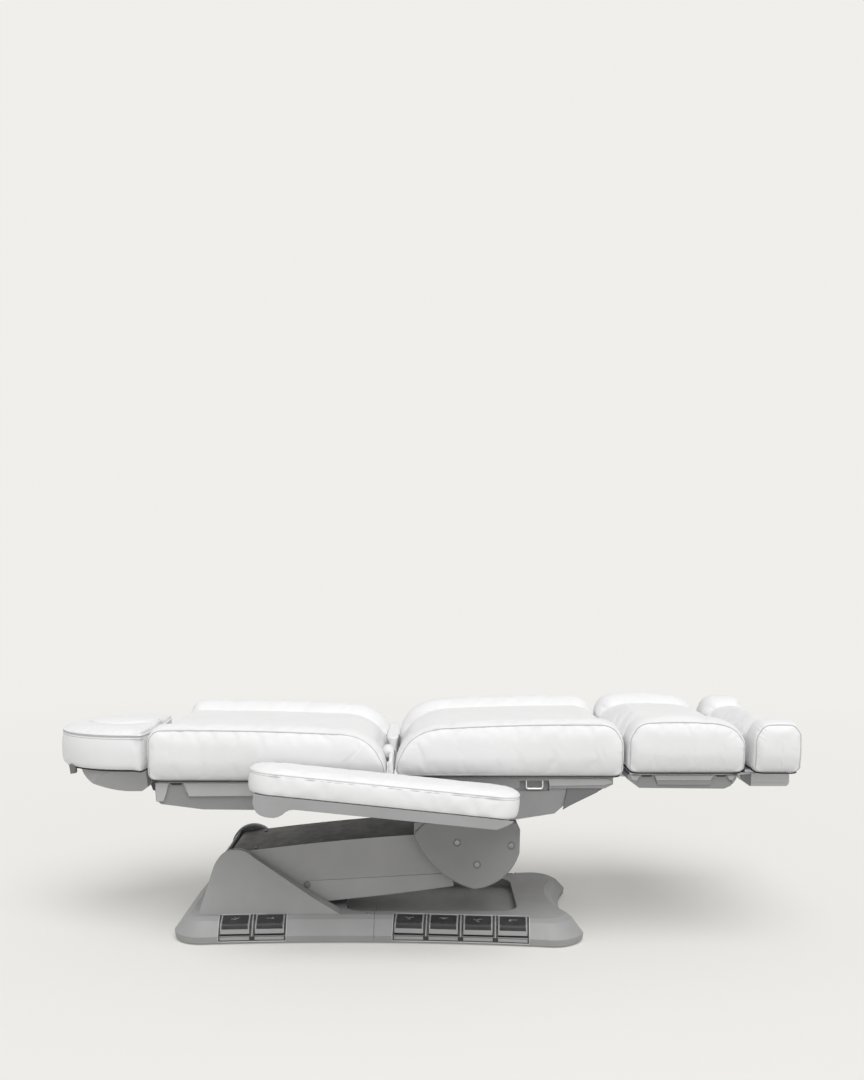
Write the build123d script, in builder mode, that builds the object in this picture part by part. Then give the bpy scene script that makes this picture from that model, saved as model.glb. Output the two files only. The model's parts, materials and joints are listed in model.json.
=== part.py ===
"""A treatment chair for a clinic or spa, lying flat and at its lowest height.

The chair lies along X, its head end at -X and its foot end at +X, and stands on Z = 0.
Right and left are those of a person who lies on it: right is at -Y and left at +Y.
A waisted base carries a lifting arm, and bars that run parallel to it keep a carriage level.
The seat tilts on the carriage and carries the backrest and the leg rest.
The backrest carries the headrest and both armrests, and the leg rest carries the foot rest.
"""

import os
from math import atan2, cos, degrees, hypot, radians, sin

from build123d import *

# Fits and cuts
RUN = 0.05  # radial clearance of a shaft in its bore
FACE_GAP = 0.5  # clearance beside a moving or a neighbouring face
SOFT_GAP = 0.3  # clearance of a cushion above its board
SWING_GAP = 3.0  # room round a part that swings past
CUT = 40.0  # how far a cutting tool overruns

# Lengths along the chair, from the head end to the foot end
HEAD_LENGTH = 273.0
HEAD_SPACE = 31.0
BACK_LENGTH = 595.0
BACK_SPACE = 20.0
SEAT_LENGTH = 570.0
LEG_SPACE = 8.0
LEG_LENGTH = 293.0
FOOT_SPACE = 18.0
FOOT_LENGTH = 122.0
OVERALL = (
    HEAD_LENGTH + HEAD_SPACE + BACK_LENGTH + BACK_SPACE + SEAT_LENGTH
    + LEG_SPACE + LEG_LENGTH + FOOT_SPACE + FOOT_LENGTH
)
HEAD_END = -OVERALL / 2
HEAD_FRONT = HEAD_END + HEAD_LENGTH
BACK_REAR = HEAD_FRONT + HEAD_SPACE
BACK_FRONT = BACK_REAR + BACK_LENGTH
SEAT_REAR = BACK_FRONT + BACK_SPACE
SEAT_FRONT = SEAT_REAR + SEAT_LENGTH
LEG_REAR = SEAT_FRONT + LEG_SPACE
LEG_FRONT = LEG_REAR + LEG_LENGTH
FOOT_REAR = LEG_FRONT + FOOT_SPACE
FOOT_END = FOOT_REAR + FOOT_LENGTH

# Lifting arm and its parallel bars, which set where the base stands
HIGH_PIVOT_AHEAD = 186.0
ARM_RUN = 602.0
ARM_CLIMB = 45.0
COVER_TOP = 62.0
PIVOT_ABOVE_COVER = 98.0
HIGH_X = SEAT_REAR + HIGH_PIVOT_AHEAD
LOW_X = HIGH_X - ARM_RUN
LOW_Z = COVER_TOP + PIVOT_ABOVE_COVER
HIGH_Z = LOW_Z + ARM_CLIMB
ARM_LENGTH = hypot(ARM_RUN, ARM_CLIMB)
ARM_SLOPE = degrees(atan2(ARM_CLIMB, ARM_RUN))
BAR_AHEAD = 30.0
BAR_DROP = 56.0
SHAFT = 12.0
BAR_SHAFT = 8.0

# Widths that stack up from the middle of the arm to its side plates
ACTUATOR_HALF = 30.0
RAIL_IN = 60.0
RAIL_THICK = 12.0
BARREL_PAST = 8.0
BAR_SPACE = 4.0
BAR_THICK = 10.0
COVER_SPACE = 19.0
ARM_WALL = 5.0
PLATE_THICK = 8.0
RAIL_OUT = RAIL_IN + RAIL_THICK
BARREL_HALF = RAIL_OUT + BARREL_PAST
BAR_IN = BARREL_HALF + BAR_SPACE
BAR_OUT = BAR_IN + BAR_THICK
ARM_HALF = BAR_OUT + COVER_SPACE + ARM_WALL
PLATE_IN = ARM_HALF + SWING_GAP
PLATE_OUT = PLATE_IN + PLATE_THICK
SKIN_IN = PLATE_OUT + 2 * FACE_GAP

# Lifting arm: barrels, rails and bars
BARREL = 24.0
BEAM_HEIGHT = 46.0
BEAM_TIE = 40.0
TIE_PLACE_SHARES = (0.3, 0.86)
ARM_RIB_HALF = 40.0
BAR_HEIGHT = 16.0
BAR_EYE = 14.0

# Lifting arm: covers, measured from the line through its pivots
ARM_NOSE = 47.0
ARM_TOP_RISE = 57.0
ARM_TOP_SWELL_SHARE = 0.42
ARM_UNDER_REAR = 100.0
ARM_UNDER_FRONT = 84.0
ARM_BELLY = 4.0
ARM_SEAM_REAR = 40.0
ARM_SEAM_FRONT = 49.0
ARM_LOWER_START = 66.0
ARM_END_BACK = 42.0
NOSE_BACK_SHARE = 0.94
SEAM_GAP = 0.6
DOME_SCREW = 9.0
DOME_SCREW_PROUD = 3.0
DOME_SCREW_ALONG = 178.0
DOME_SCREW_BELOW_SEAM = 12.0

# Base: plan outline and section
BASE_BEHIND = 157.0
BASE_LENGTH = 1054.0
REAR_HALF = 232.0
WAIST_HALF = 217.0
EAR_HALF = 249.0
REAR_END_HALF = 160.0
REAR_CORNER_RUN = 80.0
EAR_RUN = 105.0
EAR_TIP_HALF = 196.0
EAR_HOLLOW = 38.0
WAIST_AHEAD = 350.0
COVER_UNDER = 5.0
COVER_LIP = 21.0
COVER_SHOULDER = 54.0
LIP_INSET = 3.0
SHOULDER_INSET = 27.0
CREST_INSET = 40.0
COVER_WALL = 5.0
COVER_SEAM_AHEAD = 361.0
BASE_REAR = LOW_X - BASE_BEHIND
BASE_FRONT = BASE_REAR + BASE_LENGTH
COVER_SEAM_X = LOW_X + COVER_SEAM_AHEAD
WAIST_X = LOW_X + WAIST_AHEAD
RECESS_START = 282.0
RECESS_LENGTH = 452.0
RECESS_HALF = 150.0
RECESS_CORNER = 46.0
RECESS_DEEP = 20.0
FLOOR_PLATE_UNDER = 8.0
FLOOR_PLATE_THICK = 6.0
FLOOR_PLATE_INSET = 14.0
FLOOR_PLATE_TOP = FLOOR_PLATE_UNDER + FLOOR_PLATE_THICK
LEVELLER = 22.0
LEVELLER_INSET = 66.0
LEVELLER_SOFT_SHARE = 0.3
SEAM_SCREW = 5.0
SEAM_SCREW_PROUD = 1.5
SEAM_SCREW_BACK = 16.0
SEAM_SCREW_IN = 8.0
SCREW_TAPER = 32.0
SOCKET_SHARE = 0.4
SOCKET_FLOOR_SHARE = 0.4

# Pivot tower and the hump that covers it
TOWER_FOOT_REAR = 50.0
TOWER_FOOT_AHEAD = 70.0
TOWER_EYE = 27.0
WELL_BEHIND = 83.0
WELL_AHEAD = 76.0
CHEEK_RADIUS = 61.0
CHEEK_REAR_FOOT = 94.0
CHEEK_REAR_TURN = 163.0
CHEEK_FRONT_TURN = 46.0
CHEEK_SLOPE_RUN = 200.0
CHEEK_SLOPE_DROP = 57.0
CHEEK_FRONT_FOOT = 272.0
CHEEK_FOOT_WIDTH = 44.0
CHEEK_TOP_WIDTH = 18.0
HUMP_WALL = 5.0
HUMP_RADIUS = 56.0
HUMP_COVER_START = 128.0

# Lifting actuator, placed along the arm and below the line through its pivots
ACTUATOR_ALONG = 430.0
ACTUATOR_BELOW = 30.0
ACTUATOR_PIN_DROP = 75.0
ACTUATOR_PIN = 6.0
ACTUATOR_TUBE = 16.0
ACTUATOR_ROD = 8.0
ACTUATOR_TUBE_LENGTH = 330.0
ACTUATOR_ROD_HIDDEN = 150.0
ACTUATOR_EYE = 17.0
ACTUATOR_EYE_PLAY = 3.2
ACTUATOR_EYE_HALF = 10.0
ACTUATOR_LUG_EYE = 13.0
ACTUATOR_MOUNT_EYE = 15.0
ACTUATOR_MOTOR = 23.0
ACTUATOR_MOTOR_LENGTH = 92.0
ACTUATOR_MOTOR_RISE = 42.0
ACTUATOR_GEAR_LENGTH = 46.0
LUG_THICK = 8.0

# Carriage on top of the arm
HEART_WIDTH = 276.0
HEART_HEIGHT = 177.0
HEART_RISE = 94.0
HEART_FRONT = 136.0
HEART_THICK = 35.0
HEART_WALL = 4.0
HEART_SOFTEN = 3.0
HEART_LEFT_SHARES = ((0.0, 0.797), (0.183, 0.35), (0.57, 0.0))
HEART_RIGHT_SHARES = ((0.57, 0.0), (0.82, 0.15), (0.993, 0.53))
HEART_TOP_SHARES = ((1.0, 0.87), (0.965, 0.99), (0.1, 0.98), (0.012, 0.84))
HEART_SCREW_SHARES = ((0.407, 0.69), (0.593, 0.368), (0.915, 0.647))
HEART_SCREW = 7.0
HEART_DIMPLE = 10.0
HEART_BOSS = 12.0
HEART_DIMPLE_DEEP = 1.6
CARRIAGE_INSET = 7.0
CARRIAGE_TIE = 10.0
TILT_BACK = 95.0
TILT_DROP = 22.0
TILT_PIN = 8.0
TILT_LUG = 16.0
TILT_LUG_THICK = 10.0
TILT_ROOT = 26.0
CARRIAGE_TOP = HIGH_Z + HEART_RISE
TILT_X = HIGH_X - TILT_BACK
TILT_Z = CARRIAGE_TOP - TILT_DROP

# Heights of the boards under the cushions
CARRIAGE_SPACE = 15.0
SEAT_SHELL_DEPTH = 116.0
BACK_DROP = 11.0
LEG_RISE = 9.0
BOARD_THICK = 8.0
BOARD_DROP = BOARD_THICK + SOFT_GAP
SEAT_DECK = CARRIAGE_TOP + CARRIAGE_SPACE + SEAT_SHELL_DEPTH + BOARD_DROP
BACK_DECK = SEAT_DECK - BACK_DROP
LEG_DECK = SEAT_DECK + LEG_RISE

# Boards and frames
BOARD_INSET = 6.0
FRAME_WALL = 22.0
FRAME_INNER = 52.0
FRAME_OUTER = 198.0
SEAT_FRAME_DEEP = 40.0
SEAT_RAIL_SHARE = 0.76
BACK_FRAME_DEEP = 32.0
LEG_FRAME_DEEP = 24.0
CROSS_WIDTH = 30.0

# Shells under the boards, set in from the cushions' sides
CUSHION_HALF = 300.0
SHELL_INSET = 30.0
SHELL_HALF = CUSHION_HALF - SHELL_INSET
SHELL_WALL = 5.0
SHELL_BAND = 24.0
SHELL_BAND_PROUD = 4.0
SHELL_TAPER_SHARE = 0.12
SEAT_SHELL_BACK_GAP = 6.0
SEAT_SHELL_FRONT_GAP = 18.0
SEAT_SHELL_SHARES = (
    (0.0, 0.68), (0.05, 0.87), (0.18, 1.0), (0.55, 0.9), (0.72, 0.77), (0.76, 0.6),
    (0.86, 0.42), (0.985, 0.12),
)
BACK_SHELL_REAR_GAP = 18.0
BACK_SHELL_FRONT_GAP = 40.0
BACK_SHELL_DEPTH = 69.0
BACK_SHELL_SHARES = ((0.0, 0.62), (0.024, 0.78), (0.22, 0.98), (0.46, 1.0), (0.84, 0.86), (1.0, 0.4))
LEG_SHELL_REAR_GAP = 2.0
LEG_SHELL_FRONT_GAP = 20.0
LEG_SHELL_DEPTH = 35.0
LEG_SHELL_SHARES = ((0.0, 0.3), (0.11, 0.94), (0.89, 1.0), (0.95, 0.8), (1.0, 0.26))
FOOT_SHELL_REAR_PAST = 27.0
FOOT_SHELL_FRONT_GAP = 19.0
FOOT_SHELL_DEPTH = 34.0
FOOT_SHELL_SHARES = ((0.0, 0.25), (0.25, 1.0), (0.96, 1.0), (1.0, 0.84))
FOOT_SHELL_INSET = 58.0
FOOT_SHELL_HALF = CUSHION_HALF - FOOT_SHELL_INSET

# Cushions
CORNER = 34.0
SIDE_PULL_SHARE = 0.008
UNDER_TUCK = 16.0
BOLSTER = 108.0
BOLSTER_SHOULDER = 30.0
VALLEY = 27.0
PANEL_CROWN = 9.0
SIDE_TUCK = 9.0
SIDE_BULGE_SHARE = 0.05
QUARTER_SHARE = 0.2
SEAT_THICK_REAR = 131.0
SEAT_THICK_FRONT = 139.0
SEAT_REAR_ROLL = (137.0, 112.0, 0.16)
SEAT_FRONT_ROLL = (58.0, 56.0, 0.17)
BACK_THICK_REAR = 136.0
BACK_THICK_FRONT = 127.0
BACK_REAR_ROLL = (34.0, 30.0, 0.19)
BACK_FRONT_ROLL = (124.0, 104.0, 0.1)
LEG_THICK = 135.0
LEG_REAR_ROLL = (80.0, 70.0, 0.17)
LEG_FRONT_ROLL = (70.0, 60.0, 0.17)
FOOT_THICK = 130.0
FOOT_REAR_ROLL = (40.0, 48.0, 0.18)
FOOT_FRONT_ROLL = (30.0, 34.0, 0.19)
FLAT_CROWN_SHARE = 0.006

# Hinge of the backrest, in the wedge between the cushions
BACK_HINGE_RISE = 42.0
BACK_HINGE_BEHIND = 20.0
HINGE_EYE = 13.0
HINGE_PIN = 6.0
HINGE_LUG_IN = 138.0
HINGE_SLOT_SPACE = 3.0
SEAT_SLOT_DEEP = 34.0
BACK_SLOT_DEEP = 62.0
BACK_HINGE_X = SEAT_REAR - BACK_HINGE_BEHIND
BACK_HINGE_Z = SEAT_DECK + BACK_HINGE_RISE

# Hinge of the leg rest, under the gap between the cushions
LEG_HINGE_BEHIND = 6.0
LEG_HINGE_DROP = 13.0
LEG_EYE = 9.0
LEG_PIN = 4.5
LEG_LUG_IN = 150.0
LEG_LUG_ROOT = 22.0
LEG_SLOT_DEEP = 20.0
LEG_HINGE_X = SEAT_FRONT - LEG_HINGE_BEHIND
LEG_HINGE_Z = SEAT_DECK - LEG_HINGE_DROP

# Headrest
HEAD_HALF = 170.0
HEAD_DECK_RISE = 9.0
HEAD_SIDE = 79.0
HEAD_CROWN = 17.0
HEAD_CORNER = 30.0
HEAD_ROUND_RUN = 120.0
HEAD_SHELL_DEPTH = 62.0
HEAD_SHELL_TAPER = 30.0
HEAD_SHELL_FRONT_GAP = 8.0
HEAD_SHELL_REAR = 60.0
HEAD_SHELL_HALF = 140.0
HEAD_BELLY_SHARE = 0.1
HEAD_KEEL_BACK = 18.0
HEAD_HEEL_RISE = 13.0
HEAD_TONGUE = 30.0
INSERT_LENGTH = 186.0
INSERT_WIDTH = 140.0
INSERT_FRONT_GAP = 8.0
INSERT_PROUD = 13.0
INSERT_DEEP = 30.0
INSERT_ROUND_SHARE = 0.7
HEAD_BAR_IN = 84.0
HEAD_BAR_WIDTH = 24.0
HEAD_BAR_THICK = 8.0
HEAD_BAR_REACH = 178.0
HEAD_GUIDE_LENGTH = 60.0
HEAD_GUIDE_WALL = 6.0
HEAD_HINGE_BEHIND = 8.0
HEAD_HINGE_DROP = 26.0
HEAD_PIN = 5.0
HEAD_EYE = 10.0
HEAD_DECK = BACK_DECK + HEAD_DECK_RISE
HEAD_HINGE_X = HEAD_FRONT + HEAD_HINGE_BEHIND
HEAD_HINGE_Z = BACK_DECK - HEAD_HINGE_DROP

# Foot rest runners
RUNNER = 7.0
RUNNER_Y = 110.0
RUNNER_DROP = 17.0
RUNNER_REACH = 215.0
GUIDE_LENGTH = 90.0
GUIDE_BACK = 18.0
GUIDE_HALF = 13.0
RUNNER_Z = LEG_DECK - RUNNER_DROP

# Armrests, drawn along their own slope from the pivot
ARMREST_SLOPE = -5.8
ARMREST_SPACE = 12.0
ARMREST_WIDTH = 118.0
ARMREST_LENGTH = 634.0
ARMREST_BEHIND = 52.0
ARMREST_PIVOT_BACK = 268.0
ARMREST_PIVOT_DROP = 25.0
ARMREST_PAD_RISE = 16.0
ARMREST_PAD_SIDE = 46.0
ARMREST_PAD_CROWN = 12.0
ARMREST_SHELL_DEPTH = 25.0
ARMREST_SHELL_INSET = 9.0
ARMREST_BULGE = 33.0
ARMREST_BULGE_SHARE = 0.06
ARMREST_AXLE_BACK = 20.0
ARMREST_FRONT_SLANT = 44.0
ARMREST_END_RUN = 46.0
BRACKET_DISC = 15.0
BRACKET_PIN = 8.0
BRACKET_THICK = 48.0
BRACKET_CAP = 4.0
LEVER_THICK = 12.0
STOP_PIN = 5.0
STOP_EYE = 9.0
STOP_AHEAD = 100.0
STOP_REACH = 30.0
ARMREST_IN = CUSHION_HALF + ARMREST_SPACE
ARMREST_OUT = ARMREST_IN + ARMREST_WIDTH
ARMREST_X = BACK_FRONT - ARMREST_PIVOT_BACK
ARMREST_Z = BACK_DECK - ARMREST_PIVOT_DROP

# Foot pedals, in one row of two and one of four on each side
PEDAL_PITCH = 88.0
PEDAL_SPACE = 14.0
PEDAL_COUNTS = {"rear": 2, "front": 4}
PEDAL_ROW_AHEAD = {"rear": 52.0, "front": 581.0}
PEDAL_FRONT_BACK = 7.0
PEDAL_DEEP = 39.0
PEDAL_BACK_Z = 61.0
PEDAL_FRONT_Z = 47.0
PEDAL_UNDER_Z = 31.0
PEDAL_PIN = 3.0
PEDAL_PIN_Z = 38.0
PEDAL_PIN_BACK = 6.0
PEDAL_PIN_REACH = 3.0
PAD_MARGIN = 4.0
PAD_THICK = 2.0
PEDAL_BACK_SPACE = 4.0
POCKET_FLOOR_THICK = 4.0
POCKET_SPACE = 1.5
POCKET_WALL = 4.0
POCKET_LIP = 6.0

# Wire loops on the sides of the seat shell
LOOP_AHEAD = 348.0
LOOP_WIDTH = 46.0
LOOP_DROP = 20.0
LOOP_WIRE = 2.5
LOOP_BEND = 6.0
LOOP_POCKET_SPACE = 14.0
LOOP_POCKET_HEIGHT = 27.0
LOOP_POCKET_DEEP = 13.0
LOOP_POCKET_TOP = 5.0

# Recesses in the sides of the shells
NOTCH_WIDTH = 40.0
NOTCH_LEAN = 8.0
BACK_NOTCH_AHEAD = 27.0
LEG_NOTCH_SHARES = (0.1, 0.79)
SEAT_PANEL_SHARES = ((0.775, 0.22), (0.762, 0.56), (0.86, 0.39), (0.945, 0.22))
SEAT_PANEL_DEEP = 8.0

os.makedirs("parts", exist_ok=True)


# Planes, curves and plates that the pieces share
def save(part, label):
    """Label a finished piece and write it."""
    part.label = label
    export_step(part, f"parts/{label}.step")


def side_plane(x=0.0, z=0.0, slope=0.0):
    """A plane seen from the right: local X runs along the chair and local Y up."""
    turn = radians(slope)
    return Plane(origin=(x, 0, z), x_dir=(cos(turn), 0, sin(turn)), z_dir=(0, -1, 0))


def cross_plane(x=0.0, z=0.0, slope=0.0):
    """A plane across the chair: local X runs to the left side and local Y up."""
    turn = radians(slope)
    return Plane(origin=(x, 0, z), x_dir=(0, 1, 0), z_dir=(cos(turn), 0, sin(turn)))


def plan_plane(x=0.0, z=0.0, slope=0.0):
    """A plane seen from above: local X runs along the chair and local Y to the left side."""
    turn = radians(slope)
    return Plane(origin=(x, 0, z), x_dir=(cos(turn), 0, sin(turn)), z_dir=(-sin(turn), 0, cos(turn)))


def bulge(start, end, share):
    """A curve that bulges to the right of its way by a share of its chord."""
    return SagittaArc(start, end, -share * hypot(end[0] - start[0], end[1] - start[1]))


def on_circle(centre, radius, angle):
    """The point of a circle at an angle from local X."""
    return (centre[0] + radius * cos(radians(angle)), centre[1] + radius * sin(radians(angle)))


def shared_points(shares, left, low, width, height):
    """Points at shares of a box."""
    return [(left + across * width, low + up * height) for across, up in shares]


def outline(points):
    """A closed face with straight sides."""
    with BuildLine() as line:
        Polyline(*points, close=True)
    make_face(line.edges())


def disc(centre, radius, mode=Mode.ADD):
    """A round face."""
    with Locations(centre):
        Circle(radius, mode=mode)


def box_face(left, right, low, high, mode=Mode.ADD):
    """A rectangle between two places each way."""
    with Locations(((left + right) / 2, (low + high) / 2)):
        Rectangle(right - left, high - low, mode=mode)


def slab(plane, y_from, y_to, draw):
    """A plate between two distances from the chair's middle, cut from one outline."""
    with BuildPart() as plate:
        with BuildSketch(plane.offset(-y_from)):
            draw()
        extrude(amount=y_from - y_to)
    return plate.part


def on_both_sides(part):
    """A piece and its mirror image on the other side of the chair."""
    with BuildPart() as pair:
        add(part)
        mirror(part, about=Plane.XZ)
    return pair.part


def pair_of_slabs(plane, y_in, y_out, draw):
    """Two equal plates, one on each side of the chair."""
    return on_both_sides(slab(plane, y_in, y_out, draw))


def pin(x, z, radius, y_in, y_out):
    """A round pin across the chair."""
    return slab(side_plane(x, z), y_in, y_out, lambda: Circle(radius))


def joined(*parts):
    """Parts that are welded into one piece."""
    with BuildPart() as weldment:
        for part in parts:
            add(part)
    return weldment.part


def cut_from(body, *tools):
    """A body with other shapes taken out of it."""
    with BuildPart() as rest:
        add(body)
        for tool in tools:
            add(tool, mode=Mode.SUBTRACT)
    return rest.part


# Base: the plan outline at a given inset, which every part of the base follows
def base_plan(inset):
    rear = BASE_REAR + inset
    front = BASE_FRONT - inset
    corner_x = BASE_REAR + REAR_CORNER_RUN
    shoulder_x = BASE_FRONT - EAR_RUN
    with BuildLine() as line:
        Line((rear, REAR_END_HALF), (rear, -REAR_END_HALF))
        bulge((rear, -REAR_END_HALF), (corner_x, inset - REAR_HALF), QUARTER_SHARE)
        ThreePointArc(
            (corner_x, inset - REAR_HALF), (WAIST_X, inset - WAIST_HALF), (shoulder_x, inset - EAR_HALF)
        )
        bulge((shoulder_x, inset - EAR_HALF), (front, inset - EAR_TIP_HALF), QUARTER_SHARE)
        ThreePointArc((front, inset - EAR_TIP_HALF), (front - EAR_HOLLOW, 0), (front, EAR_TIP_HALF - inset))
        bulge((front, EAR_TIP_HALF - inset), (shoulder_x, EAR_HALF - inset), QUARTER_SHARE)
        ThreePointArc(
            (shoulder_x, EAR_HALF - inset), (WAIST_X, WAIST_HALF - inset), (corner_x, REAR_HALF - inset)
        )
        bulge((corner_x, REAR_HALF - inset), (rear, REAR_END_HALF), QUARTER_SHARE)
    make_face(line.edges())


def base_mound(inset, under, drop):
    """The rounded body of the base: its outside, or its hollow when inset is the wall."""
    levels = (
        (under, LIP_INSET), (COVER_LIP, 0.0),
        (COVER_SHOULDER - drop, SHOULDER_INSET), (COVER_TOP - drop, CREST_INSET),
    )
    with BuildPart() as mound:
        for level, setback in levels:
            with BuildSketch(Plane.XY.offset(level)):
                base_plan(inset + setback)
        loft(ruled=True)
    return mound.part


def recess_block(spread, floor):
    """The sunken field that the arm comes down into, from its floor up."""
    with BuildPart() as block:
        with BuildSketch(Plane.XY.offset(floor)):
            with Locations((LOW_X + RECESS_START + RECESS_LENGTH / 2, 0)):
                RectangleRounded(
                    RECESS_LENGTH + 2 * spread, 2 * (RECESS_HALF + spread), RECESS_CORNER + spread
                )
        extrude(amount=COVER_TOP + CUT - floor)
    return block.part


def waist_side(x):
    """Half width of the base at its lip, and how the side turns there in degrees."""
    ax, ay = BASE_REAR + REAR_CORNER_RUN - WAIST_X, REAR_HALF - WAIST_HALF
    bx, by = BASE_FRONT - EAR_RUN - WAIST_X, EAR_HALF - WAIST_HALF
    a_square = ax**2 + ay**2
    b_square = bx**2 + by**2
    cross = 2 * (ax * by - ay * bx)
    centre_x = (by * a_square - ay * b_square) / cross
    centre_y = (ax * b_square - bx * a_square) / cross
    radius = hypot(centre_x, centre_y)
    along = x - WAIST_X - centre_x
    out = centre_y - (radius**2 - along**2) ** (1 / 2)
    return WAIST_HALF + out, degrees(atan2(along, centre_y - out))


def row_place(row, along, inward):
    """The place in plan of a point of a right-hand pedal row, and the row's direction."""
    x = LOW_X + PEDAL_ROW_AHEAD[row]
    half, turn = waist_side(x)
    run = (cos(radians(turn)), -sin(radians(turn)))
    return (x + along * run[0] - inward * run[1], -half + along * run[1] + inward * run[0]), run


def pedal_places(row):
    """How far along its row each pedal's middle lies."""
    count = PEDAL_COUNTS[row]
    return [(index - (count - 1) / 2) * PEDAL_PITCH for index in range(count)]


def row_prism(row, start, end, draw):
    """A prism along a right-hand pedal row: its outline runs inward from the lip, and up."""
    place, run = row_place(row, start, 0)
    plane = Plane(origin=(*place, 0), x_dir=(-run[1], run[0], 0), z_dir=(*run, 0))
    with BuildPart() as prism:
        with BuildSketch(plane):
            draw()
        extrude(amount=end - start)
    return prism.part


PEDAL_HALF = (PEDAL_PITCH - PEDAL_SPACE) / 2
PEDAL_BACK = PEDAL_FRONT_BACK + PEDAL_DEEP
POCKET_FLOOR = FLOOR_PLATE_TOP + POCKET_FLOOR_THICK
POCKET_END = PEDAL_BACK + PEDAL_BACK_SPACE


def pocket_face():
    """Section of a pedal's pocket, open to the front above the lip."""
    box_face(POCKET_LIP, POCKET_END, POCKET_FLOOR, COVER_TOP + CUT)
    box_face(-CUT, POCKET_LIP, COVER_LIP, COVER_TOP + CUT)


def row_block(row):
    """The solid surround of a row of pockets, which stands on the floor plate."""
    half = PEDAL_COUNTS[row] * PEDAL_PITCH / 2
    return row_prism(
        row, -half, half, lambda: box_face(-CUT, POCKET_END + POCKET_WALL, FLOOR_PLATE_TOP, COVER_TOP + CUT)
    )


def row_pockets(row):
    """The pockets of a row, with the bores that its hinge pins turn in."""
    with BuildPart() as pockets:
        for along in pedal_places(row):
            reach = PEDAL_HALF + POCKET_SPACE
            add(row_prism(row, along - reach, along + reach, pocket_face))
            bore = PEDAL_HALF + POCKET_SPACE + PEDAL_PIN_REACH + FACE_GAP
            add(row_prism(row, along - bore, along + bore, lambda: disc(PEDAL_PIN_AT, PEDAL_PIN + RUN)))
    return pockets.part


PEDAL_PIN_AT = (PEDAL_BACK - PEDAL_PIN_BACK, PEDAL_PIN_Z)


def well_block():
    """The opening in the base cover that the pivot tower stands up through."""
    with BuildPart() as block:
        with BuildSketch(Plane.XY):
            box_face(LOW_X - WELL_BEHIND, LOW_X + WELL_AHEAD, -SKIN_IN, SKIN_IN)
        extrude(amount=COVER_TOP + CUT)
    return block.part


def build_base_covers():
    recess_floor = COVER_TOP - RECESS_DEEP
    hollow = cut_from(
        base_mound(COVER_WALL, COVER_UNDER - CUT, COVER_WALL),
        recess_block(COVER_WALL, recess_floor - COVER_WALL),
        *[on_both_sides(row_block(row)) for row in PEDAL_COUNTS],
    )
    cover = cut_from(
        base_mound(0.0, COVER_UNDER, 0.0),
        hollow,
        recess_block(0.0, recess_floor),
        well_block(),
        *[on_both_sides(row_pockets(row)) for row in PEDAL_COUNTS],
    )
    halves = (("base_cover_rear", -SEAM_GAP / 2, Keep.BOTTOM), ("base_cover_front", SEAM_GAP / 2, Keep.TOP))
    for label, shift, keep in halves:
        with BuildPart() as half:
            add(cover)
            split(bisect_by=Plane.YZ.offset(COVER_SEAM_X + shift), keep=keep)
        save(half.part, label)


def build_floor_plate():
    with BuildPart() as plate:
        with BuildSketch(Plane.XY.offset(FLOOR_PLATE_UNDER)):
            base_plan(FLOOR_PLATE_INSET)
        extrude(amount=FLOOR_PLATE_THICK)
    save(plate.part, "floor_plate")

    with BuildPart() as levellers:
        with BuildSketch(Plane.XY):
            for x, half in (
                (BASE_REAR + REAR_CORNER_RUN, REAR_HALF), (BASE_FRONT - EAR_RUN, EAR_HALF),
            ):
                for side in (-1, 1):
                    disc((x, side * (half - LEVELLER_INSET)), LEVELLER)
        extrude(amount=FLOOR_PLATE_UNDER)
        chamfer(levellers.faces().group_by(Axis.Z)[0].edges(), FLOOR_PLATE_UNDER * LEVELLER_SOFT_SHARE)
    save(levellers.part, "levelling_feet")


def screws(places, radius, proud):
    """Socket screw heads on planes whose normals point out of the covered face."""
    with BuildPart() as heads:
        with BuildSketch(*places):
            Circle(radius)
        extrude(amount=proud, taper=SCREW_TAPER)
        with BuildSketch(*[place.offset(proud * SOCKET_FLOOR_SHARE) for place in places]):
            RegularPolygon(radius * SOCKET_SHARE, 6)
        extrude(amount=proud, mode=Mode.SUBTRACT)
    return heads.part


def build_seam_screws():
    place = COVER_SEAM_X - SEAM_SCREW_BACK
    half = WAIST_HALF - CREST_INSET - SEAM_SCREW_IN
    places = [Plane(origin=(place, side * half, COVER_TOP), z_dir=(0, 0, 1)) for side in (-1, 1)]
    save(screws(places, SEAM_SCREW, SEAM_SCREW_PROUD), "cover_screws")


# Pivot tower, with the pins that the arm and its bars turn on
def tower_plate():
    outline([
        (-TOWER_FOOT_REAR, FLOOR_PLATE_TOP - LOW_Z), (TOWER_FOOT_AHEAD, FLOOR_PLATE_TOP - LOW_Z),
        (TOWER_EYE, 0), (-TOWER_EYE, 0),
    ])
    Circle(TOWER_EYE)
    Circle(SHAFT + RUN, mode=Mode.SUBTRACT)
    disc((BAR_AHEAD, -BAR_DROP), BAR_SHAFT + RUN, Mode.SUBTRACT)


def actuator_lug():
    """Lug on the tower's foot for the pin of the lifting actuator's rod."""
    outline([
        (-TOWER_FOOT_REAR, FLOOR_PLATE_TOP - LOW_Z), (TOWER_FOOT_REAR, FLOOR_PLATE_TOP - LOW_Z),
        (ACTUATOR_LUG_EYE, -ACTUATOR_PIN_DROP), (-ACTUATOR_LUG_EYE, -ACTUATOR_PIN_DROP),
    ])
    disc((0, -ACTUATOR_PIN_DROP), ACTUATOR_LUG_EYE)
    disc((0, -ACTUATOR_PIN_DROP), ACTUATOR_PIN + RUN, Mode.SUBTRACT)


def bar_pins(x, z):
    """Stub pins for the eyes of the parallel bars at one end of the arm."""
    place = side_plane(x + BAR_AHEAD, z - BAR_DROP)
    return pair_of_slabs(place, BAR_IN - FACE_GAP, PLATE_OUT, lambda: Circle(BAR_SHAFT))


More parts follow.
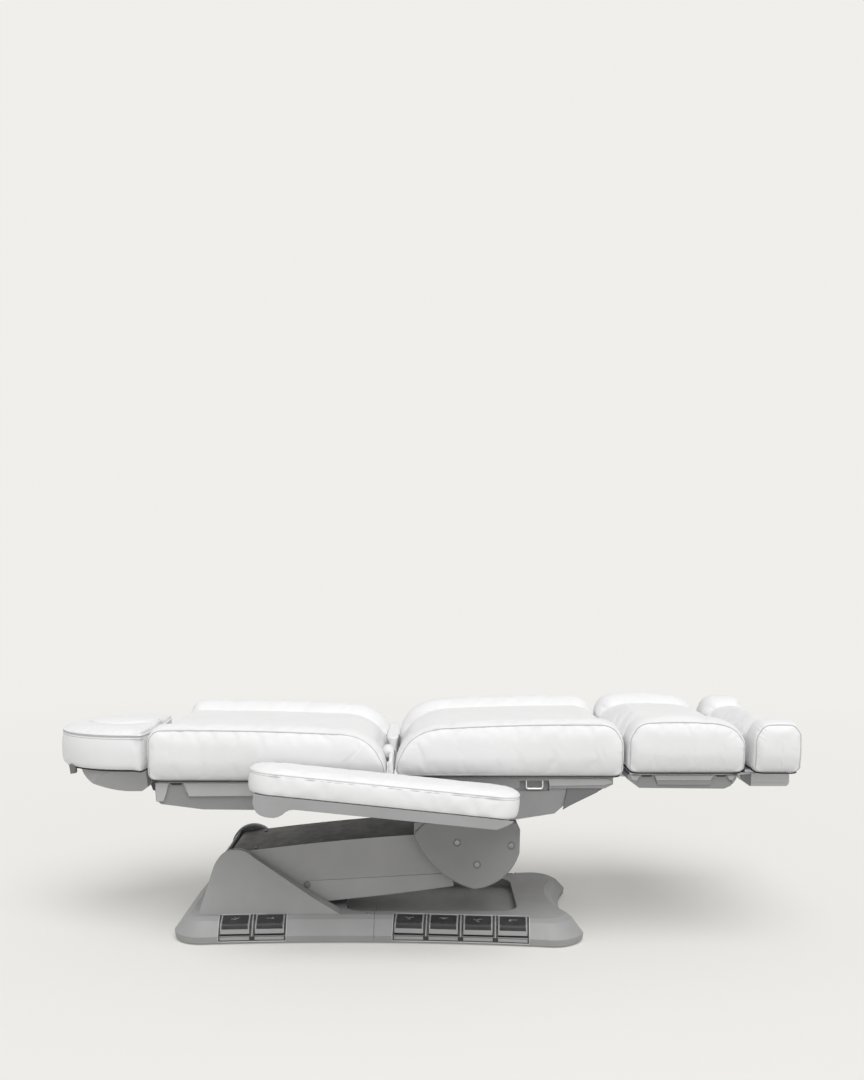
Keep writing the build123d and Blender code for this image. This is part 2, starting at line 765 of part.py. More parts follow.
def build_tower():
    pivot = side_plane(LOW_X, LOW_Z)
    lug_in = ACTUATOR_EYE_HALF + FACE_GAP
    foot = slab(
        side_plane(LOW_X, FLOOR_PLATE_TOP), -PLATE_IN, PLATE_IN,
        lambda: box_face(-TOWER_FOOT_REAR, TOWER_FOOT_REAR, 0, PLATE_THICK),
    )
    tower = joined(
        pair_of_slabs(pivot, PLATE_IN, PLATE_OUT, tower_plate),
        pair_of_slabs(pivot, lug_in, lug_in + LUG_THICK, actuator_lug),
        foot,
    )
    save(tower, "pivot_tower")

    pins = joined(
        pin(LOW_X, LOW_Z, SHAFT, -PLATE_OUT, PLATE_OUT),
        bar_pins(LOW_X, LOW_Z),
        pin(LOW_X, LOW_Z - ACTUATOR_PIN_DROP, ACTUATOR_PIN, -lug_in - LUG_THICK, lug_in + LUG_THICK),
    )
    save(pins, "lower_pins")


# Hump: two cheeks and a rear cover over the tower
def cheek_outline():
    """Side of a cheek about the low pivot."""
    floor = COVER_TOP - LOW_Z
    rear = on_circle((0, 0), CHEEK_RADIUS, CHEEK_REAR_TURN)
    front = on_circle((0, 0), CHEEK_RADIUS, CHEEK_FRONT_TURN)
    with BuildLine() as line:
        Line((-CHEEK_REAR_FOOT, floor), rear)
        ThreePointArc(rear, (0, CHEEK_RADIUS), front)
        Line(front, (CHEEK_SLOPE_RUN, -CHEEK_SLOPE_DROP))
        Line((CHEEK_SLOPE_RUN, -CHEEK_SLOPE_DROP), (CHEEK_FRONT_FOOT, floor))
        Line((CHEEK_FRONT_FOOT, floor), (-CHEEK_REAR_FOOT, floor))
    make_face(line.edges())


def cheek_block(inset):
    """One right-hand cheek, whose outer face leans in towards the top."""
    top = LOW_Z + CHEEK_RADIUS
    y_in = -SKIN_IN + (CUT if inset else 0)
    y_out = -SKIN_IN - CHEEK_FOOT_WIDTH + inset
    y_top = -SKIN_IN - CHEEK_TOP_WIDTH + inset
    with BuildPart() as block:
        with BuildSketch(side_plane(LOW_X, LOW_Z).offset(-y_in)):
            cheek_outline()
            if inset:
                offset(amount=-inset, kind=Kind.INTERSECTION, mode=Mode.REPLACE)
        extrude(amount=y_in - y_out)
        with BuildSketch(cross_plane(LOW_X - CHEEK_REAR_FOOT - CUT)):
            outline([(y_in, COVER_TOP), (y_out, COVER_TOP), (y_top, top), (y_in, top)])
        extrude(amount=CHEEK_REAR_FOOT + CHEEK_FRONT_FOOT + 2 * CUT, mode=Mode.INTERSECT)
    return block.part


def build_cheeks():
    cheek = cut_from(cheek_block(0.0), cheek_block(HUMP_WALL))
    save(cheek, "hump_cheek_right")
    save(mirror(cheek, about=Plane.XZ), "hump_cheek_left")


def hump_cover_outline(radius):
    """The rear cover's side from its foot to where the arm's nose takes over."""
    foot = (-CHEEK_REAR_FOOT + HUMP_RADIUS - radius, COVER_TOP - LOW_Z)
    turn = on_circle((0, 0), radius, CHEEK_REAR_TURN)
    end = on_circle((0, 0), radius, HUMP_COVER_START)
    middle = on_circle((0, 0), radius, (CHEEK_REAR_TURN + HUMP_COVER_START) / 2)
    return foot, turn, middle, end


def build_hump_cover():
    outer = hump_cover_outline(HUMP_RADIUS)
    inner = hump_cover_outline(HUMP_RADIUS - HUMP_WALL)
    with BuildPart() as cover:
        with BuildSketch(side_plane(LOW_X, LOW_Z)):
            with BuildLine() as line:
                Line(outer[0], outer[1])
                ThreePointArc(*outer[1:])
                Line(outer[3], inner[3])
                ThreePointArc(*inner[:0:-1])
                Line(inner[1], inner[0])
                Line(inner[0], outer[0])
            make_face(line.edges())
        extrude(amount=PLATE_OUT, both=True)
    save(cover.part, "hump_rear_cover")


# Lifting arm, drawn along the line through its pivots
def arm_plane():
    return side_plane(LOW_X, LOW_Z, ARM_SLOPE)


def on_arm(along, above):
    """The place in the side view of a point given along the arm and above its line."""
    turn = radians(ARM_SLOPE)
    return LOW_X + along * cos(turn) - above * sin(turn), LOW_Z + along * sin(turn) + above * cos(turn)


def beam_rail():
    box_face(0, ARM_LENGTH, -BEAM_HEIGHT / 2, BEAM_HEIGHT / 2)


def build_arm_beam():
    plane = arm_plane()
    ties = [
        slab(
            plane, -RAIL_IN, RAIL_IN,
            lambda place=share * ARM_LENGTH: box_face(
                place - BEAM_TIE / 2, place + BEAM_TIE / 2, BEAM_HEIGHT / 2 - PLATE_THICK, BEAM_HEIGHT / 2
            ),
        )
        for share in TIE_PLACE_SHARES
    ]
    ends = (0, ARM_LENGTH)
    barrels = slab(plane, -BARREL_HALF, BARREL_HALF, lambda: [disc((x, 0), BARREL) for x in ends])
    bores = slab(plane, -BARREL_HALF, BARREL_HALF, lambda: [disc((x, 0), SHAFT + RUN) for x in ends])
    lug_in = ACTUATOR_MOTOR + FACE_GAP
    mount = (ACTUATOR_ALONG, -ACTUATOR_BELOW)
    lugs = pair_of_slabs(plane, ACTUATOR_HALF, RAIL_IN, lambda: disc(mount, ACTUATOR_MOUNT_EYE))
    holes = pair_of_slabs(plane, lug_in, RAIL_IN, lambda: disc(mount, ACTUATOR_PIN + RUN))
    beam = cut_from(
        joined(pair_of_slabs(plane, RAIL_IN, RAIL_OUT, beam_rail), barrels, *ties, lugs), bores, holes
    )
    save(beam, "arm_beam")


def arm_top_edge(inset):
    """Start, swell and end of the arm's upper side."""
    end = ARM_LENGTH - ARM_END_BACK
    swell = end * ARM_TOP_SWELL_SHARE
    return (0, ARM_NOSE - inset), (swell, ARM_TOP_RISE - inset), (end, ARM_TOP_RISE - inset)


def arm_upper_outline(inset, past):
    """The upper cover from its round nose to the seam, and past the seam for a cutter."""
    start, swell, end = arm_top_edge(inset)
    nose = ARM_NOSE - inset
    back = (-nose * NOSE_BACK_SHARE, -nose * (1 - NOSE_BACK_SHARE**2) ** (1 / 2))
    front = ARM_LENGTH - ARM_END_BACK + (CUT if past else 0)
    with BuildLine() as line:
        ThreePointArc(back, (-nose, 0), (0, nose))
        ThreePointArc(start, swell, end)
        if past:
            Line(end, (front, end[1]))
        Line((front, end[1]), (front, -ARM_SEAM_FRONT - past))
        Line((front, -ARM_SEAM_FRONT - past), (ARM_LOWER_START, -ARM_SEAM_REAR - past))
        Line((ARM_LOWER_START, -ARM_SEAM_REAR - past), back)
    make_face(line.edges())


def arm_lower_outline(inset, past):
    """The lower cover from the seam down to its gently bowed underside."""
    front = ARM_LENGTH - ARM_END_BACK
    seam = past - SEAM_GAP
    middle = (ARM_LOWER_START + front) / 2
    belly = -(ARM_UNDER_REAR + ARM_UNDER_FRONT) / 2 - ARM_BELLY + inset
    start = ARM_LOWER_START - past
    end = front + past
    with BuildLine() as line:
        Line((start, -ARM_SEAM_REAR + seam), (start, -ARM_UNDER_REAR + inset))
        ThreePointArc((start, -ARM_UNDER_REAR + inset), (middle, belly), (end, -ARM_UNDER_FRONT + inset))
        Line((end, -ARM_UNDER_FRONT + inset), (end, -ARM_SEAM_FRONT + seam))
        Line((end, -ARM_SEAM_FRONT + seam), (start, -ARM_SEAM_REAR + seam))
    make_face(line.edges())


def build_arm_covers():
    plane = arm_plane()
    inner_half = ARM_HALF - ARM_WALL
    upper = cut_from(
        slab(plane, -ARM_HALF, ARM_HALF, lambda: arm_upper_outline(0.0, 0.0)),
        slab(plane, -inner_half, inner_half, lambda: arm_upper_outline(ARM_WALL, CUT)),
        slab(plane, -ARM_HALF, ARM_HALF, lambda: Circle(SHAFT + SWING_GAP)),
    )
    ribs = [
        slab(plane, -ARM_RIB_HALF, ARM_RIB_HALF, lambda place=share * ARM_LENGTH: box_face(
            place - ARM_WALL, place + ARM_WALL, BEAM_HEIGHT / 2, ARM_TOP_RISE - ARM_WALL / 2
        ))
        for share in TIE_PLACE_SHARES
    ]
    save(joined(upper, *ribs), "arm_cover_upper")
    lower = cut_from(
        slab(plane, -ARM_HALF, ARM_HALF, lambda: arm_lower_outline(0.0, 0.0)),
        slab(plane, -inner_half, inner_half, lambda: arm_lower_outline(ARM_WALL, CUT)),
    )
    save(lower, "arm_cover_lower")


def build_arm_screws():
    slope = radians(ARM_SLOPE)
    side_place = on_arm(DOME_SCREW_ALONG, -ARM_SEAM_REAR - DOME_SCREW_BELOW_SEAM)
    sides = [
        Plane(
            origin=(side_place[0], side * ARM_HALF, side_place[1]),
            x_dir=(cos(slope), 0, sin(slope)), z_dir=(0, side, 0),
        )
        for side in (-1, 1)
    ]
    save(screws(sides, DOME_SCREW, DOME_SCREW_PROUD), "arm_screws")


def bar_outline():
    box_face(0, ARM_LENGTH, -BAR_HEIGHT / 2, BAR_HEIGHT / 2)
    for x in (0, ARM_LENGTH):
        disc((x, 0), BAR_EYE)
    for x in (0, ARM_LENGTH):
        disc((x, 0), BAR_SHAFT + RUN, Mode.SUBTRACT)


def build_bars():
    plane = side_plane(LOW_X + BAR_AHEAD, LOW_Z - BAR_DROP, ARM_SLOPE)
    save(pair_of_slabs(plane, BAR_IN, BAR_OUT, bar_outline), "parallel_bars")


# Lifting actuator, between the arm's mount and the pin on the tower
def actuator_plane():
    mount = on_arm(ACTUATOR_ALONG, -ACTUATOR_BELOW)
    low = (LOW_X, LOW_Z - ACTUATOR_PIN_DROP)
    slope = degrees(atan2(mount[1] - low[1], mount[0] - low[0]))
    return side_plane(*low, slope), hypot(mount[0] - low[0], mount[1] - low[1])


def build_lift_actuator():
    plane, length = actuator_plane()
    tube_start = length - ACTUATOR_TUBE_LENGTH
    axis = Plane(origin=plane.origin, x_dir=(0, 1, 0), z_dir=plane.x_dir)
    with BuildPart() as motor:
        with BuildSketch(axis.offset(tube_start)):
            Circle(ACTUATOR_TUBE)
        extrude(amount=ACTUATOR_TUBE_LENGTH)
        with BuildSketch(plane):
            box_face(
                length - ACTUATOR_GEAR_LENGTH / 2, length + ACTUATOR_GEAR_LENGTH / 2,
                -ACTUATOR_MOTOR, ACTUATOR_MOTOR + ACTUATOR_MOTOR_RISE,
            )
        extrude(amount=ACTUATOR_MOTOR, both=True)
        with BuildSketch(axis.offset(length - ACTUATOR_GEAR_LENGTH / 2 - ACTUATOR_MOTOR_LENGTH)):
            with Locations((0, ACTUATOR_MOTOR_RISE)):
                Circle(ACTUATOR_MOTOR - SWING_GAP)
        extrude(amount=ACTUATOR_MOTOR_LENGTH)
        with BuildSketch(axis.offset(tube_start)):
            Circle(ACTUATOR_ROD + RUN)
        extrude(amount=ACTUATOR_ROD_HIDDEN + SWING_GAP, mode=Mode.SUBTRACT)
    trunnion = slab(
        side_plane(*on_arm(ACTUATOR_ALONG, -ACTUATOR_BELOW)), -RAIL_IN, RAIL_IN, lambda: Circle(ACTUATOR_PIN)
    )
    save(joined(motor.part, trunnion), "lift_motor")

    with BuildPart() as rod:
        with BuildSketch(axis):
            Circle(ACTUATOR_ROD)
        extrude(amount=tube_start + ACTUATOR_ROD_HIDDEN)
        with BuildSketch(plane):
            Circle(ACTUATOR_EYE)
        extrude(amount=ACTUATOR_EYE_HALF, both=True)
        with BuildSketch(plane):
            Circle(ACTUATOR_PIN + ACTUATOR_EYE_PLAY)
        extrude(amount=ACTUATOR_EYE_HALF, both=True, mode=Mode.SUBTRACT)
    save(rod.part, "lift_rod")


# Carriage that rides level on the arm
def heart_box():
    return HIGH_X + HEART_FRONT - HEART_WIDTH, CARRIAGE_TOP - HEART_HEIGHT, HEART_WIDTH, HEART_HEIGHT


def heart_outline(inset=0.0):
    """The heart-shaped side of the carriage, from its low point up both sides to its flat top."""
    left = shared_points(HEART_LEFT_SHARES, *heart_box())
    right = shared_points(HEART_RIGHT_SHARES, *heart_box())
    top = shared_points(HEART_TOP_SHARES, *heart_box())
    with BuildLine() as line:
        ThreePointArc(*left)
        ThreePointArc(*right)
        Polyline(right[-1], *top, left[0])
    make_face(line.edges())
    if inset:
        offset(amount=-inset, kind=Kind.INTERSECTION, mode=Mode.REPLACE)


def carriage_plate():
    heart_outline(CARRIAGE_INSET)
    disc((HIGH_X, HIGH_Z), SHAFT + RUN, Mode.SUBTRACT)
    disc((HIGH_X + BAR_AHEAD, HIGH_Z - BAR_DROP), BAR_SHAFT + RUN, Mode.SUBTRACT)
    disc((TILT_X, TILT_Z), TILT_PIN + RUN, Mode.SUBTRACT)


def build_carriage():
    plane = side_plane()
    front = HIGH_X + HEART_FRONT - CARRIAGE_INSET
    top = CARRIAGE_TOP - CARRIAGE_INSET
    rear = TILT_X + TILT_LUG + 2 * SWING_GAP
    ties = slab(plane, -PLATE_IN, PLATE_IN, lambda: [
        box_face(rear, front - CARRIAGE_TIE, top - CARRIAGE_TIE, top),
        box_face(front - CARRIAGE_TIE, front - SWING_GAP, HIGH_Z + SHAFT, top),
    ])
    save(joined(pair_of_slabs(plane, PLATE_IN, PLATE_OUT, carriage_plate), ties), "carriage_frame")

    tilt_in = PLATE_IN - FACE_GAP - TILT_LUG_THICK
    pins = joined(
        pin(HIGH_X, HIGH_Z, SHAFT, -PLATE_OUT, PLATE_OUT),
        bar_pins(HIGH_X, HIGH_Z),
        pair_of_slabs(side_plane(TILT_X, TILT_Z), tilt_in, PLATE_OUT, lambda: Circle(TILT_PIN)),
    )
    save(pins, "upper_pins")


def heart_screw_discs(radius):
    for place in shared_points(HEART_SCREW_SHARES, *heart_box()):
        disc(place, radius)


def build_carriage_covers():
    plane = side_plane()
    outer = SKIN_IN + HEART_THICK
    with BuildPart() as cover:
        add(slab(plane, -SKIN_IN, -outer, heart_outline))
        chamfer(cover.faces().sort_by(Axis.Y)[0].edges(), HEART_SOFTEN)
        add(
            slab(plane, CUT - SKIN_IN, HEART_WALL - outer, lambda: heart_outline(HEART_WALL)),
            mode=Mode.SUBTRACT,
        )
        add(slab(plane, -PLATE_OUT, HEART_WALL / 2 - outer, lambda: heart_screw_discs(HEART_BOSS)))
        with BuildSketch(plane.offset(outer)):
            heart_screw_discs(HEART_DIMPLE)
        extrude(amount=-HEART_DIMPLE_DEEP, mode=Mode.SUBTRACT)
    save(cover.part, "bracket_cover_right")
    save(mirror(cover.part, about=Plane.XZ), "bracket_cover_left")

    face = outer - HEART_DIMPLE_DEEP
    places = [
        Plane(origin=(x, side * face, z), x_dir=(1, 0, 0), z_dir=(0, side, 0))
        for x, z in shared_points(HEART_SCREW_SHARES, *heart_box())
        for side in (-1, 1)
    ]
    save(screws(places, HEART_SCREW, HEART_DIMPLE_DEEP), "bracket_screws")


# Shells: trays with a flange band, hollow under the boards that close them
def shell_block(rear, front, rim, depth, half, shares, inset):
    """The outside of a shell, or its hollow when inset is the wall."""
    top = rim + (CUT if inset else 0)
    points = shared_points(shares, rear, rim, front - rear, -depth)
    side = half - SHELL_BAND_PROUD - inset
    foot = side - SHELL_TAPER_SHARE * (depth - SHELL_BAND + CUT)
    low = -depth - CUT
    if inset:
        corners = [(side, top - rim), (side, -SHELL_BAND), (foot, low)]
    else:
        corners = [(half, 0), (half, -SHELL_BAND), (side, -SHELL_BAND), (foot, low)]
    with BuildPart() as block:
        with BuildSketch(side_plane()):
            outline([(points[0][0], top), *points, (points[-1][0], top)])
            if inset:
                offset(amount=-inset, kind=Kind.INTERSECTION, mode=Mode.REPLACE)
        extrude(amount=half + CUT, both=True)
        with BuildSketch(cross_plane(rear - CUT, rim)):
            outline([*[(-across, up) for across, up in corners], *reversed(corners)])
        extrude(amount=front - rear + 2 * CUT, mode=Mode.INTERSECT)
    return block.part


def shell(rear, front, rim, depth, half, shares, hollows=(), cuts=()):
    """A shell with sunken fields in both sides, each given as its outline and its depth."""
    walls = []
    fields = []
    for draw, deep in hollows:
        floor = half - deep
        walls.append(pair_of_slabs(side_plane(), floor - SHELL_WALL, half + CUT, lambda: thickened(draw)))
        fields.append(pair_of_slabs(side_plane(), floor, half + CUT, draw))
    inside = cut_from(shell_block(rear, front, rim, depth, half, shares, SHELL_WALL), *walls)
    return cut_from(shell_block(rear, front, rim, depth, half, shares, 0.0), inside, *fields, *cuts)


def thickened(draw):
    draw()
    offset(amount=SHELL_WALL, kind=Kind.INTERSECTION, mode=Mode.REPLACE)


def band_gap(left, rim):
    """A break in the flange band on both sides, wider at its foot."""
    right = left + NOTCH_WIDTH
    foot = rim - SHELL_BAND
    return pair_of_slabs(side_plane(), SHELL_HALF - SHELL_BAND_PROUD, SHELL_HALF + CUT, lambda: outline([
        (left, rim), (left - NOTCH_LEAN, foot), (right + NOTCH_LEAN, foot), (right, rim),
    ]))


# Boards and the frames welded under them
def frame_rails(rear, front, under, deep):
    """Four rails along the chair, close enough together to carry the board."""
    return joined(*[
        pair_of_slabs(
            side_plane(), y, y + FRAME_WALL, lambda: box_face(rear, front, under - deep, under)
        )
        for y in (FRAME_INNER, FRAME_OUTER)
    ])


def board(rear, front, deck, half):
    """The board that a cushion lies on."""
    low = deck - BOARD_DROP
    return slab(side_plane(), -half, half, lambda: box_face(rear, front, low, low + BOARD_THICK))


def cross_member(x, half, under, deep):
    return slab(side_plane(), -half, half, lambda: box_face(x, x + CROSS_WIDTH, under - deep, under))


def eye_plate(hinge, eye, root, bore):
    """A hinge plate: its eye, and the root outline that joins it to a frame."""
    outline([*root, *tangent_pair(hinge, eye, root)])
    disc(hinge, eye)
    disc(hinge, bore, Mode.SUBTRACT)


def tangent_pair(hinge, eye, root):
    """The two sides of an eye, square to the way to its root."""
    middle = ((root[0][0] + root[-1][0]) / 2, (root[0][1] + root[-1][1]) / 2)
    away = (middle[0] - hinge[0], middle[1] - hinge[1])
    reach = hypot(*away)
    across = (-away[1] / reach * eye, away[0] / reach * eye)
    near = [(hinge[0] + across[0], hinge[1] + across[1]), (hinge[0] - across[0], hinge[1] - across[1])]
    near.sort(key=lambda point: hypot(point[0] - root[-1][0], point[1] - root[-1][1]))
    return near


SEAT_UNDER = SEAT_DECK - BOARD_DROP
BACK_UNDER = BACK_DECK - BOARD_DROP
LEG_UNDER = LEG_DECK - BOARD_DROP
HEAD_UNDER = HEAD_DECK - BOARD_DROP
SEAT_SHELL_ENDS = (SEAT_REAR + SEAT_SHELL_BACK_GAP, SEAT_FRONT - SEAT_SHELL_FRONT_GAP)
BACK_SHELL_ENDS = (BACK_REAR + BACK_SHELL_REAR_GAP, BACK_FRONT - BACK_SHELL_FRONT_GAP)
LEG_SHELL_ENDS = (LEG_REAR + LEG_SHELL_REAR_GAP, LEG_FRONT - LEG_SHELL_FRONT_GAP)
FOOT_SHELL_ENDS = (FOOT_REAR - FOOT_SHELL_REAR_PAST, FOOT_END - FOOT_SHELL_FRONT_GAP)
BOARD_HALF = SHELL_HALF - BOARD_INSET
HINGE_LUG_OUT = HINGE_LUG_IN + LUG_THICK
SEAT_LUG_IN = HINGE_LUG_OUT + FACE_GAP
SEAT_LUG_OUT = SEAT_LUG_IN + LUG_THICK
LEG_LUG_OUT = LEG_LUG_IN + LUG_THICK
LEG_MATE_IN = LEG_LUG_OUT + FACE_GAP
LEG_MATE_OUT = LEG_MATE_IN + LUG_THICK
TILT_LUG_OUT = PLATE_IN - FACE_GAP
TILT_LUG_IN = TILT_LUG_OUT - TILT_LUG_THICK


def seat_tilt_lug():
    root = [(TILT_X - TILT_ROOT, SEAT_UNDER), (TILT_X + TILT_ROOT, SEAT_UNDER)]
    eye_plate((TILT_X, TILT_Z), TILT_LUG, root, TILT_PIN + RUN)


def seat_back_lug():
    rear = SEAT_SHELL_ENDS[0] + BOARD_INSET
    root = [(rear, SEAT_UNDER), (rear + 2 * HINGE_EYE, SEAT_UNDER)]
    eye_plate((BACK_HINGE_X, BACK_HINGE_Z), HINGE_EYE, root, HINGE_PIN + RUN)


def seat_leg_lug():
    front = SEAT_SHELL_ENDS[1] - BOARD_INSET
    root = [(front - LEG_LUG_ROOT, SEAT_UNDER), (front, SEAT_UNDER)]
    eye_plate((LEG_HINGE_X, LEG_HINGE_Z), LEG_EYE, root, LEG_PIN + RUN)


def build_seat_frame():
    rear, front = SEAT_SHELL_ENDS
    rear += BOARD_INSET
    front -= BOARD_INSET
    rails_front = rear + SEAT_RAIL_SHARE * (front - rear)
    frame = joined(
        board(rear, front, SEAT_DECK, BOARD_HALF),
        frame_rails(rear + CROSS_WIDTH, rails_front, SEAT_UNDER, SEAT_FRAME_DEEP),
        cross_member(rear + CROSS_WIDTH, FRAME_OUTER + FRAME_WALL, SEAT_UNDER, SEAT_FRAME_DEEP),
        cross_member(rails_front - CROSS_WIDTH, FRAME_OUTER + FRAME_WALL, SEAT_UNDER, SEAT_FRAME_DEEP),
        pair_of_slabs(side_plane(), TILT_LUG_IN, TILT_LUG_OUT, seat_tilt_lug),
        pair_of_slabs(side_plane(), SEAT_LUG_IN, SEAT_LUG_OUT, seat_back_lug),
        pair_of_slabs(side_plane(), LEG_LUG_IN, LEG_LUG_OUT, seat_leg_lug),
    )
    save(frame, "seat_frame")

    hinge_in = HINGE_LUG_IN - FACE_GAP
    pins = joined(
        pair_of_slabs(
            side_plane(BACK_HINGE_X, BACK_HINGE_Z), hinge_in, SEAT_LUG_OUT + FACE_GAP,
            lambda: Circle(HINGE_PIN)
        ),
        pair_of_slabs(
            side_plane(LEG_HINGE_X, LEG_HINGE_Z), LEG_LUG_IN - FACE_GAP, LEG_MATE_OUT + FACE_GAP,
            lambda: Circle(LEG_PIN)
        ),
    )
    save(pins, "hinge_pins")


def seat_panel():
    """The field on the shell's tapered front that lies deeper than its side."""
    rear, front = SEAT_SHELL_ENDS
    outline(shared_points(SEAT_PANEL_SHARES, rear, SEAT_UNDER, front - rear, -SEAT_SHELL_DEPTH))


def loop_pocket():
    x = SEAT_REAR + LOOP_AHEAD
    half = LOOP_WIDTH / 2 + LOOP_POCKET_SPACE
    top = SEAT_UNDER - LOOP_POCKET_TOP
    box_face(x - half, x + half, top - LOOP_POCKET_HEIGHT, top)


def lug_slot(y_in, y_out, left, right, low, high):
    """Room in a shell or a cushion for a pair of hinge plates."""
    return pair_of_slabs(side_plane(), y_in, y_out, lambda: box_face(left, right, low, high))


def build_seat_shell():
    rear, front = SEAT_SHELL_ENDS
    tilt_slot = lug_slot(
        TILT_LUG_IN - SWING_GAP, PLATE_IN + SWING_GAP,
        TILT_X - TILT_ROOT - SWING_GAP, TILT_X + TILT_ROOT + SWING_GAP,
        SEAT_UNDER - SEAT_SHELL_DEPTH - CUT, SEAT_UNDER - SEAT_SHELL_DEPTH + CUT,
    )
    leg_slot = lug_slot(
        LEG_LUG_IN - SWING_GAP, LEG_MATE_OUT + SWING_GAP,
        front - LEG_LUG_ROOT - CUT, front + CUT, LEG_HINGE_Z - LEG_EYE - 2 * SWING_GAP, SEAT_UNDER + CUT,
    )
    part = shell(
        rear, front, SEAT_UNDER, SEAT_SHELL_DEPTH, SHELL_HALF, SEAT_SHELL_SHARES,
        hollows=((seat_panel, SEAT_PANEL_DEEP), (loop_pocket, LOOP_POCKET_DEEP)),
        cuts=(tilt_slot, leg_slot),
    )
    save(part, "seat_shell")


def build_loops():
    """A bent wire loop in each pocket, hung from the pocket's roof."""
    x = SEAT_REAR + LOOP_AHEAD
    top = SEAT_UNDER - LOOP_POCKET_TOP
    half = LOOP_WIDTH / 2 - LOOP_WIRE
    out = SHELL_HALF - LOOP_WIRE
    with BuildPart() as loop:
        with BuildLine(side_plane().offset(out)) as wire:
            FilletPolyline(
                (x - half, top), (x - half, top - LOOP_DROP), (x + half, top - LOOP_DROP), (x + half, top),
                radius=LOOP_BEND,
            )
        with BuildSketch(Plane(origin=wire.line @ 0, z_dir=wire.line % 0)):
            Circle(LOOP_WIRE)
        sweep()
    save(on_both_sides(loop.part), "accessory_loops")


# Cushions: a side outline crossed with a section that has bolsters and a lower centre panel
def cushion_side(rear, front, under, tops, rolls):
    """Side of a cushion; each roll is the run, drop and fullness of one rounded upper end."""
    (rear_top, front_top), (rear_roll, front_roll) = tops, rolls
    with BuildLine() as line:
        Line((rear + UNDER_TUCK, under), (front - UNDER_TUCK, under))
        bulge((front - UNDER_TUCK, under), (front, under + UNDER_TUCK), QUARTER_SHARE)
        Line((front, under + UNDER_TUCK), (front, front_top - front_roll[1]))
        bulge((front, front_top - front_roll[1]), (front - front_roll[0], front_top), front_roll[2])
        bulge((front - front_roll[0], front_top), (rear + rear_roll[0], rear_top), FLAT_CROWN_SHARE)
        bulge((rear + rear_roll[0], rear_top), (rear, rear_top - rear_roll[1]), rear_roll[2])
        Line((rear, rear_top - rear_roll[1]), (rear, under + UNDER_TUCK))
        bulge((rear, under + UNDER_TUCK), (rear + UNDER_TUCK, under), QUARTER_SHARE)
    make_face(line.edges())


def cushion_section(half, deep):
    """Section of a cushion: rolled sides, a bolster along each and the panel between them."""
    panel = half - BOLSTER
    crest = half - BOLSTER / 2
    foot = half - SIDE_TUCK
    with BuildLine() as line:
        Line((-foot, -deep), (foot, -deep))
        bulge((foot, -deep), (half, -BOLSTER_SHOULDER), SIDE_BULGE_SHARE)
        ThreePointArc((half, -BOLSTER_SHOULDER), (crest, 0), (panel, -VALLEY))
        ThreePointArc((panel, -VALLEY), (0, PANEL_CROWN - VALLEY), (-panel, -VALLEY))
        ThreePointArc((-panel, -VALLEY), (-crest, 0), (-half, -BOLSTER_SHOULDER))
        bulge((-half, -BOLSTER_SHOULDER), (-foot, -deep), SIDE_BULGE_SHARE)
    make_face(line.edges())


def rounded_plan(rear, front, half, corner, pull):
    """Plan of a cushion, whose long sides draw in between rounded corners."""
    with BuildLine() as line:
        bulge((rear + corner, -half), (front - corner, -half), -pull)
        bulge((front - corner, -half), (front, corner - half), QUARTER_SHARE)
        Line((front, corner - half), (front, half - corner))
        bulge((front, half - corner), (front - corner, half), QUARTER_SHARE)
        bulge((front - corner, half), (rear + corner, half), -pull)
        bulge((rear + corner, half), (rear, half - corner), QUARTER_SHARE)
        Line((rear, half - corner), (rear, corner - half))
        bulge((rear, corner - half), (rear + corner, -half), QUARTER_SHARE)
    make_face(line.edges())


def cushion(rear, front, deck, thickness, rolls):
    """A cushion on its board, with its thickness at the two ends."""
    tops = (deck + thickness[0], deck + thickness[1])
    rise = degrees(atan2(
        tops[1] - tops[0], front - rolls[1][0] - rear - rolls[0][0],
    ))
    swell = FLAT_CROWN_SHARE * (front - rear)
    low = deck - CUT
    with BuildPart() as pad:
        with BuildSketch(side_plane()):
            cushion_side(rear, front, deck, tops, rolls)
        extrude(amount=CUSHION_HALF + CUT, both=True)
        with BuildSketch(cross_plane(rear + rolls[0][0], tops[0] + swell, rise).offset(-rolls[0][0] - CUT)):
            cushion_section(CUSHION_HALF, tops[0] - low)
        extrude(amount=2 * (front - rear) + CUT, mode=Mode.INTERSECT)
        with BuildSketch(plan_plane(0, low)):
            rounded_plan(rear, front, CUSHION_HALF, CORNER, SIDE_PULL_SHARE)
        extrude(amount=max(tops) + CUT - low, mode=Mode.INTERSECT)
    return pad.part


